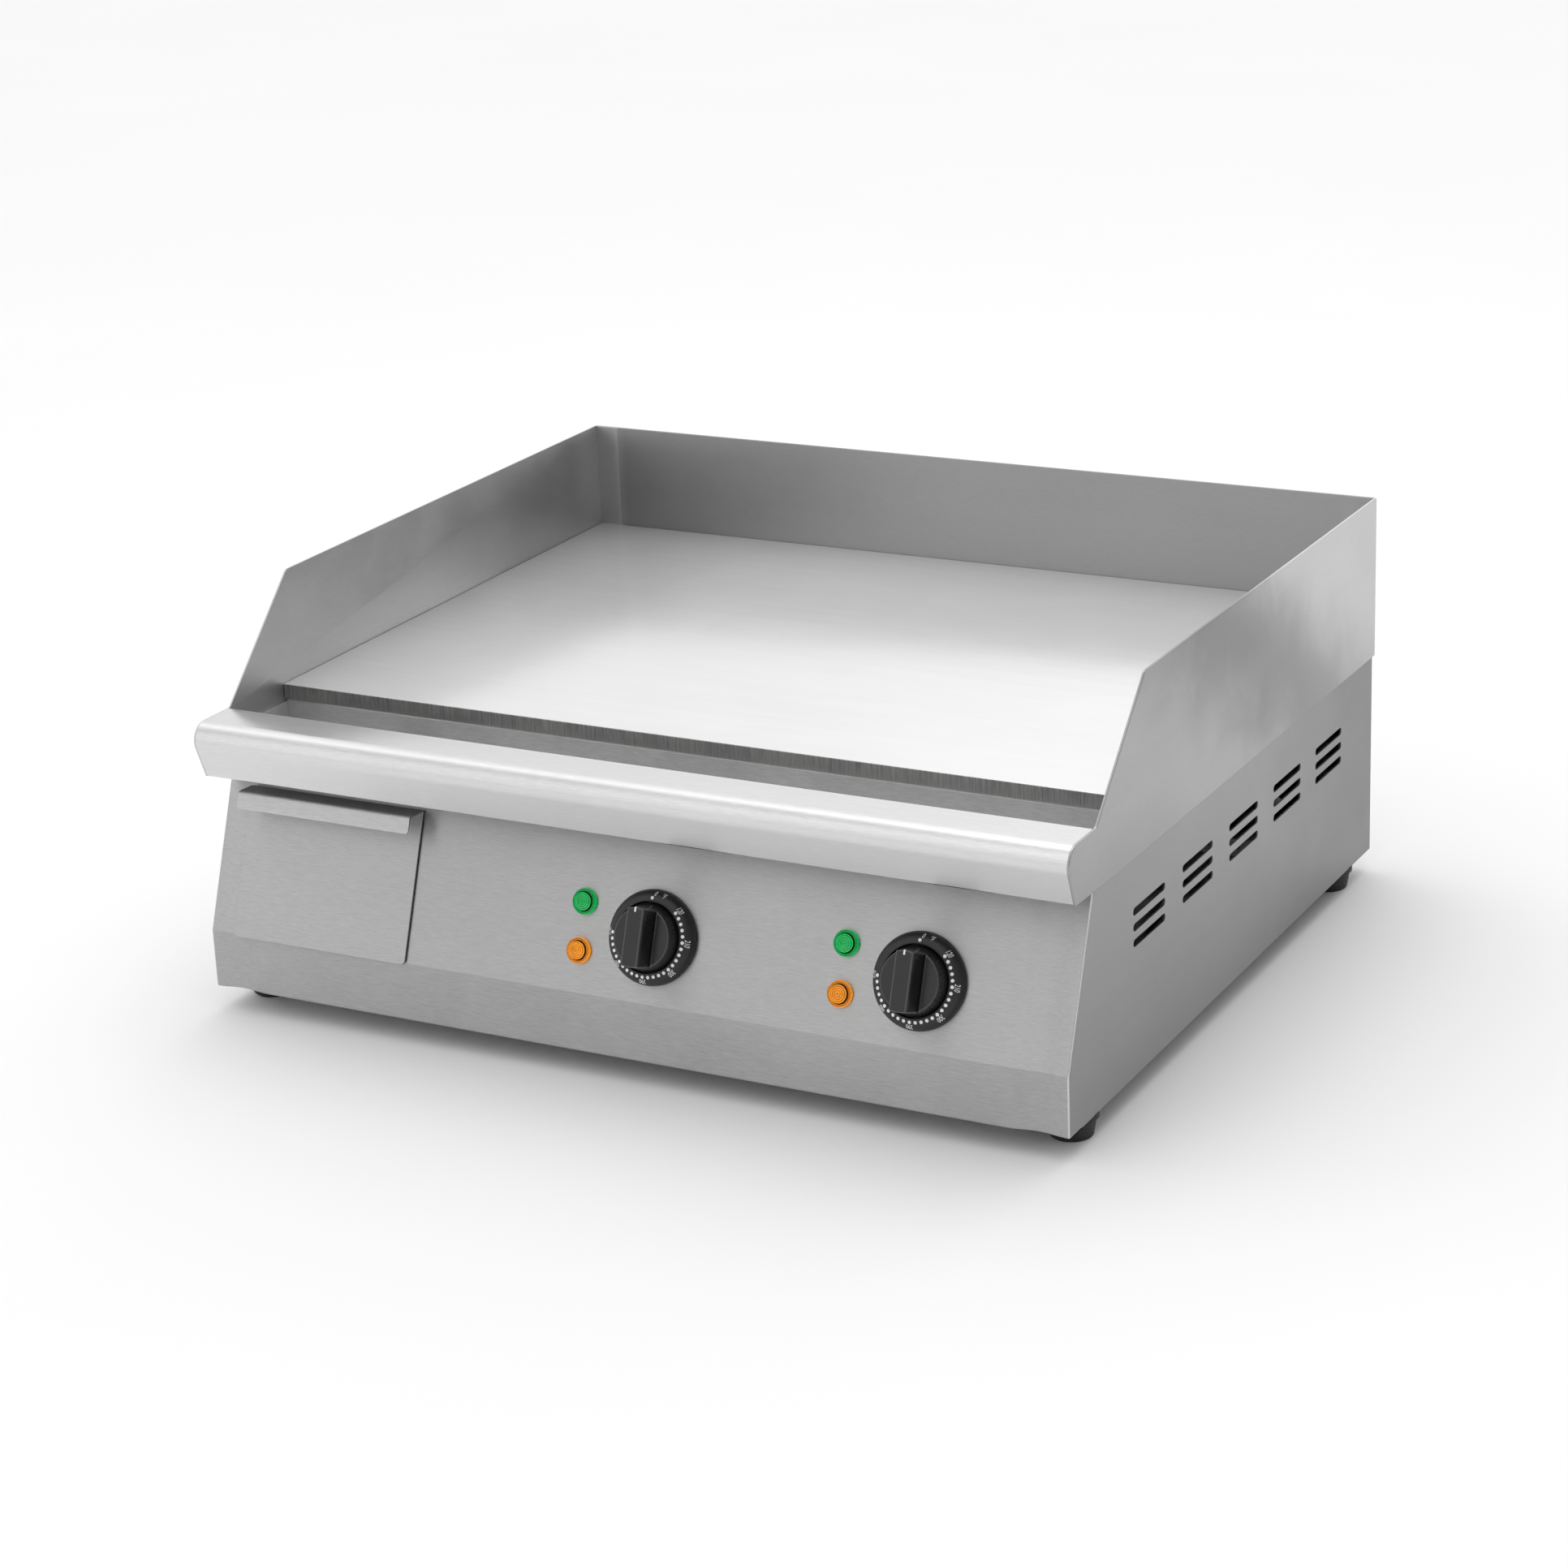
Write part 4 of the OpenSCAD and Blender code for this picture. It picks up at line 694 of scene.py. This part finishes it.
# The knob: rings over the top following the height above, a rounded rim, then the side wall down to the
# base and up inside the shaft's bore
def knob():
    k = knobShape
    steps = 480
    a = np.linspace(0, 2 * math.pi, steps, endpoint=False)
    ring = lambda r, z: np.stack([r * np.cos(a), r * np.sin(a), np.broadcast_to(z, steps)], -1)
    flatRadius = k["faceRadius"] - k["rim"]
    radii = np.concatenate([[0.01], np.linspace(0.3, 16.4, 80), np.linspace(16.6, flatRadius / mm, 8)]) * mm
    rings = [ring(r, knobHeight(r * np.cos(a), r * np.sin(a))) for r in radii]
    edge = rings[-1][:, 2]
    face, above = np.minimum(edge, k["faceHeight"]), np.clip(edge - k["faceHeight"], 0, None)
    for q in np.radians([20, 45, 70, 90]):
        fall = k["rim"] * (1 - math.cos(q))
        rings.append(ring(radii[-1] + k["rim"] * math.sin(q), face - fall + above * (1 - math.sin(q)) ** 2))
    rings += [ring(r, z) for r, z in [
        (k["faceRadius"] + 0.45 * mm, k["faceHeight"] - 3 * mm), (k["baseRadius"], k["ringHeight"]),
        (k["baseRadius"], k["low"] + k["foot"]), (k["baseRadius"] - k["foot"], k["low"]),
        (k["mouth"], k["low"]), (k["bore"] + 0.1 * mm, k["low"] + 0.2 * mm),
        (k["bore"], k["boreTop"]), (0.01 * mm, k["boreTop"] + 0.1 * mm)]]
    count = len(rings)
    points = np.concatenate(rings)
    faces = gridFaces(count, steps, True)
    faces += [list(range(steps)), list(range((count - 1) * steps, count * steps))]
    # Painted highlight along the knob's top edges, kept as an attribute
    paintedHighlight = knobHighlight(points[:, 0], points[:, 1]) * (points[:, 2] > k["faceHeight"] - 1.6 * mm)
    return points, faces, paintedHighlight


# Height of the dial ring at a distance from its middle: level, then down its slope as an ellipse's quarter
def dialHeight(r):
    d = dialShape
    c = np.clip((r - (d["radius"] - d["slope"])) / d["slope"], 0, 1)
    return d["edge"] + d["rise"] * np.sqrt(1 - c * c)


# The dial ring: its height above turned about the shaft, with a floor under the knob
def dialRing():
    d = dialShape
    r = np.concatenate([np.linspace(d["bore"], d["radius"] - 2 * mm, 12),
                        d["radius"] - np.array([1.4, 0.9, 0.5, 0.25, 0.1, 0]) * mm])
    slope = list(zip(r, dialHeight(r)))
    slope[0] = (d["bore"] + 0.25 * mm, slope[0][1])
    under = 0.1 * mm
    profile = [(d["shaftHole"], under), (d["shaftHole"], d["floor"]), (d["bore"], d["floor"]),
               (d["bore"], slope[0][1] - 0.4 * mm), *slope, (d["radius"], 0.3 * mm),
               (d["radius"] - 0.2 * mm, under), (d["shaftHole"], under)]
    return turned(profile, 128)


# Flat shapes in (x, y) about the dial's middle, lifted just clear of the ring's slope
def laidOnDial(points, clear):
    p = np.asarray(points, float)
    return np.column_stack([p[:, :2], dialHeight(np.hypot(p[:, 0], p[:, 1])) + clear])


# A round dot: three rings about its centre
def dialDot(angle):
    d = dialShape
    sides = 20
    a = math.radians(90 - angle)
    t = np.linspace(0, 2 * math.pi, sides, endpoint=False)
    centre = np.array([math.cos(a), math.sin(a)]) * d["dotRadius"]
    circle = np.column_stack([np.cos(t), np.sin(t)])
    rings = [centre + s * d["dotSize"] * circle for s in (0.02, 0.55, 1.0)]
    return laidOnDial(np.vstack(rings), d["dotLift"]), gridFaces(3, sides, True) + [list(range(sides))]


# Numerals drawn by the built-in font, cut fine and wrapped round the dial with their tops outward
def dialText(words, angle):
    d = dialShape
    data = bpy.data.curves.new("numeral", "FONT")
    data.body, data.align_x, data.size, data.shear = words, "CENTER", 1.0, digits["slant"]
    shown = bpy.data.objects.new("numeral", data)
    bpy.context.scene.collection.objects.link(shown)
    bpy.context.view_layer.update()
    mesh = bpy.data.meshes.new_from_object(shown.evaluated_get(bpy.context.evaluated_depsgraph_get()))
    bpy.data.objects.remove(shown)
    work = bmesh.new()
    work.from_mesh(mesh)
    bmesh.ops.remove_doubles(work, verts=work.verts, dist=1e-5)
    bmesh.ops.triangulate(work, faces=work.faces)
    for i in range(3):
        longEdges = [q for q in work.edges if q.calc_length() > digits["longestEdge"]]
        bmesh.ops.subdivide_edges(work, edges=longEdges, cuts=1)
        bmesh.ops.triangulate(work, faces=work.faces)
    flatPoints = np.array([v.co[:2] for v in work.verts])
    faces = [[v.index for v in f.verts] for f in work.faces]
    work.free()
    bpy.data.meshes.remove(mesh)
    flatPoints = flatPoints * [digits["narrowed"], 1] * d["textHeight"] / digits["height"]
    r = d["textRadius"] - d["textHeight"] / 2 + flatPoints[:, 1]
    a = math.radians(90 - angle) - flatPoints[:, 0] / d["textRadius"]
    return laidOnDial(np.column_stack([r * np.cos(a), r * np.sin(a)]), d["textLift"]), faces


# Painted pointer on the grip's upper end: a strip that follows the knob's height
def pointer():
    p = pointerShape
    rows, columns = 24, 5
    x, y = np.meshgrid(np.linspace(-p["halfWidth"], p["halfWidth"], columns),
                       np.linspace(p["start"], p["end"], rows))
    points = np.stack([x, y + p["shift"], knobHeight(x, y) + p["lift"]], -1)
    return points.reshape(-1, 3), gridFaces(rows, columns)


# A lamp lens: stepped collar, groove, and a dome with moulded rings, whose height is an ellipse's plus a
# cosine of the radius
def lens(radius):
    s = lensShape
    steps = 72
    r = np.linspace(0.02, 5.55, 44) * mm
    wave = s["wave"] * np.cos(r / mm * 2 * math.pi / (s["waveLength"] / mm))
    dome = s["domeFoot"] + s["domeRise"] * np.sqrt(np.clip(1 - (r / s["domeRadius"]) ** 2, 0, 1)) + wave
    collar = np.array([(5.62, 2.6), (5.7, 1.7), (6.0, 1.55), (6.25, 1.9), (6.5, 2.75), (6.9, 2.9),
                       (7.4, 2.7), (7.85, 2.2)]) * mm
    foot = [(radius, 1.4 * mm), (radius, 0.3 * mm), (radius - 0.2 * mm, 0.1 * mm), (0.02 * mm, 0.1 * mm)]
    profile = [*zip(r, dome), *collar, *foot]
    points, faces = turned(profile, steps)
    return points, faces + [list(range(steps)), list(range(len(points) - steps, len(points)))]


# Painted light and shade of a lens by the distance from its middle in millimetres: light and dark rings on the
# dome, a dark collar with bright edges
def lensRingLight(reach):
    dome = 0.95 + 0.55 * np.cos(reach * 2 * math.pi / 1.3)
    collar = 0.4 + 1.6 * np.clip(np.abs(reach - 7.1) - 0.2, 0, 1)
    return np.where(reach < 5.6, dome, collar)


def addAttribute(piece, name, values):
    piece.data.attributes.new(name, "FLOAT", "POINT").data.foreach_set("value", values)


def lampLens(side, lamp, material, slotName):
    node = f"{side}_{lamp}_lens"
    low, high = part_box(node)
    radius = (high.x - low.x) / 2
    centre = np.array([(low.x + high.x) / 2, high.y - radius * upPanel[1], low.z + radius * upPanel[2]])
    points, faces = lens(radius)
    face = newPiece(f"{side}{lamp.title()}LensFace", onPanel(points, centre), faces, material, "casing",
                    slotName, [node], bend=60, extra=[grooveShade])
    corners = np.zeros(len(face.data.vertices) * 3)
    face.data.vertices.foreach_get("co", corners)
    # The lens's painted light and shade, kept as the ring attribute
    addAttribute(face, "ring", lensRingLight(fromAxis(corners.reshape(-1, 3), centre) / mm))
    # Faces in the groove get the near-black plastic: painted shade
    fromGroove = lambda c: np.abs(fromAxis(c, centre) - lensShape["groove"])
    chooseMaterial(face, lambda normal, c: fromGroove(c) < lensShape["grooveHalf"])


# Paint is an open sheet whose faces look out from the panel
def painted(name, points, faces, place, body, slotName):
    points = onPanel(points, place)
    newPiece(name, points, facing(points, faces, outward), dialPaint, body, slotName,
             merge=False, turn=False)


for side in ("left", "right"):
    place = np.array(joint[side + "_knob_turn"]["pos_m"], float)
    control = side + "_control"
    points, faces, paintedHighlight = knob()
    knobBody = newPiece(side + "KnobBody", onPanel(points, place), faces, knobPlastic, control,
                        "knob_plastic", [side + "_knob"], bend=40, merge=False)
    addAttribute(knobBody, "paintedHighlight", paintedHighlight)
    painted(side + "KnobPointer", *pointer(), place, control, "knob_plastic")
    points, faces = dialRing()
    newPiece(side + "Dial", onPanel(points, place), faces, dialPlastic, "casing", "dial_plastic",
             [side + "_dial_ring"], bend=40)
    marks = [dialDot(0)]
    marks += [dialDot(dialScale["firstDot"] + dialScale["dotStep"] * i) for i in range(dialScale["dots"])]
    marks += [dialText(words, angle) for words, angle in dialScale["numerals"]]
    painted(side + "DialMarks", *joined(*marks), place, "casing", "dial_plastic")
    lampLens(side, "power", greenLens, "green_lens")
    lampLens(side, "heating", amberLens, "amber_lens")
print("controls made")

drawerFace = softened("drawer_front", "drawer", drawerSteel, 0.4 * mm, 50)
# The pull lip's faces get the lighter copy of the drawer steel: painted light on the lip
drawerFace.data.materials.append(lipLightSteel)
knobPlace = np.array(joint["left_knob_turn"]["pos_m"], float)
chooseMaterial(drawerFace, lambda normal, c: (c - knobPlace) @ outward > 14 * mm)  # the pull lip stands out

finishes = {
    casingSteel: "rear_panel base_plate control_panel",
    sideSteel: "left_side_panel right_side_panel",
    guardSteel: "splash_guard front_ledge",
    plateTop: "griddle_plate",
    troughSteel: "grease_trough drain_spout",
    drawerSteel: "drawer_front drawer_tray",
    footRubber: "front_left_foot front_right_foot rear_left_foot rear_right_foot",
    brightSteel: "foot_screws clamp_nuts casing_screws bulb_clips left_thermostat_shaft "
                 "right_thermostat_shaft",
    zincSteel: "left_drawer_guide right_drawer_guide insulation_pan element_clamps left_thermostat "
               "right_thermostat",
    brassMetal: "thermostat_screws earth_stud earth_nuts",
    copperMetal: "left_capillary right_capillary",
    heaterSheath: "left_heating_element right_heating_element",
    blanketFibre: "insulation_blanket",
    cutoutPlastic: "left_safety_cutout right_safety_cutout",
    redPlastic: "left_reset_button right_reset_button",
    blockCeramic: "terminal_block",
    wireRubber: "mains_loom",
    sleeveFibre: "left_zone_loom right_zone_loom",
    glandPlastic: "cable_gland gland_locknut",
    knobPlastic: "left_knob right_knob",
    dialPlastic: "left_dial_ring right_dial_ring",
    greenLens: "left_power_lens right_power_lens",
    amberLens: "left_heating_lens right_heating_lens",
    lampPlastic: "left_power_lamp left_heating_lamp right_power_lamp right_heating_lamp"}
for material, names in finishes.items():
    for name in names.split():
        nodes[name].data.materials.clear()
        nodes[name].data.materials.append(material)
print("finishes given to the CAD pieces")


# Pale matt floor: one wide square with faint mottling
def floorPiece():
    material, tree, shader = startMaterial("floorPaint")
    mottle = grain(tree, (0.4, 0.4, 0.4), 2.0)
    paint = shaded(tree, (0.9, 0.9, 0.9, 1), spread(tree, mottle, 0.995, 1.005))
    tree.links.new(paint, shader.inputs["Base Color"])
    shader.inputs["Roughness"].default_value = 0.9
    shader.inputs["Specular IOR Level"].default_value = 0.1
    mesh = bpy.data.meshes.new("floor")
    s = 14.0
    mesh.from_pydata([(-s, -s, 0), (s, -s, 0), (s, s, 0), (-s, s, 0)], [], [(0, 1, 2, 3)])
    mesh.materials.append(material)
    floor = bpy.data.objects.new("floor", mesh)
    bpy.context.scene.collection.objects.link(floor)


floorPiece()

studio = {"back": (-0.479, 0.878, 0.0), "right": (1.0, 0.0, 0.0), "strength": 1.28,
          "sweep": [(0.0, 0.5), (0.06, 0.55), (0.16, 0.75), (0.26, 1.15), (0.38, 1.1), (0.47, 0.85),
                    (0.56, 0.85), (0.68, 1.7), (0.86, 1.1), (1.0, 1.0)],
          "across": [(0.0, 0.75), (0.2, 0.75), (0.3, 0.85), (0.37, 1.08), (0.5, 1.0), (0.62, 0.75),
                     (0.75, 0.42), (1.0, 0.42)]}


# Studio light from all round: its brightness follows how far a direction points to the back, then how far
# it points to the right, where it is weaker
def studioWorld():
    world = bpy.data.worlds.new("studio")
    bpy.context.scene.world = world
    world.use_nodes = True
    tree = world.node_tree
    direction = addNode(tree, "TexCoord").outputs["Generated"]

    def along(axis):
        dot = addNode(tree, "VectorMath", {"operation": "DOT_PRODUCT"}, i0=direction, i1=axis)
        return remap(tree, dot.outputs["Value"], -1, 1, 0, 1)

    sweep = graded(tree, along(studio["back"]), studio["sweep"])
    light = combine(tree, "MULTIPLY", sweep, graded(tree, along(studio["right"]), studio["across"]))
    background = tree.nodes["Background"]
    tree.links.new(light, background.inputs[0])
    background.inputs[1].default_value = studio["strength"]


studioWorld()

overhead = {"place": (0.2, 0.4, 2.4), "aim": (0, 0, 0.1), "size": (1.8, 1.4), "power": 8}


def overheadLight():
    data = bpy.data.lights.new("overheadLight", "AREA")
    data.shape, data.energy = "RECTANGLE", overhead["power"]
    data.size, data.size_y = overhead["size"]
    lamp = bpy.data.objects.new("overheadLight", data)
    lamp.location = overhead["place"]
    aim = Vector(overhead["aim"]) - Vector(overhead["place"])
    lamp.rotation_euler = aim.to_track_quat("-Z", "Y").to_euler()
    bpy.context.scene.collection.objects.link(lamp)


overheadLight()

view = {"place": (1.09821, -2.03972, 0.93153), "yaw": 28.66, "pitch": -19.57, "roll": -2.44,
        "lens": 86.183, "sensor": 36.0}


# The camera looks along its yaw and pitch, and its level axes are turned about that line by the roll
def addCamera():
    yaw, pitch, roll = (math.radians(view[k]) for k in ("yaw", "pitch", "roll"))
    level = np.array([math.cos(yaw), math.sin(yaw), 0.0])
    forward = np.array([-math.sin(yaw) * math.cos(pitch), math.cos(yaw) * math.cos(pitch), math.sin(pitch)])
    upright = np.cross(level, forward)
    right = math.cos(roll) * level + math.sin(roll) * upright
    up = -math.sin(roll) * level + math.cos(roll) * upright
    data = bpy.data.cameras.new("camera")
    data.sensor_width, data.lens, data.clip_end = view["sensor"], view["lens"], 100
    camera = bpy.data.objects.new("camera", data)
    rows = np.column_stack([right, up, -forward, view["place"]]).tolist()
    camera.matrix_world = Matrix(rows + [[0, 0, 0, 1]])
    bpy.context.scene.collection.objects.link(camera)
    bpy.context.scene.camera = camera


addCamera()
bpy.context.scene.view_settings.view_transform = "Standard"

bpy.context.view_layer.update()
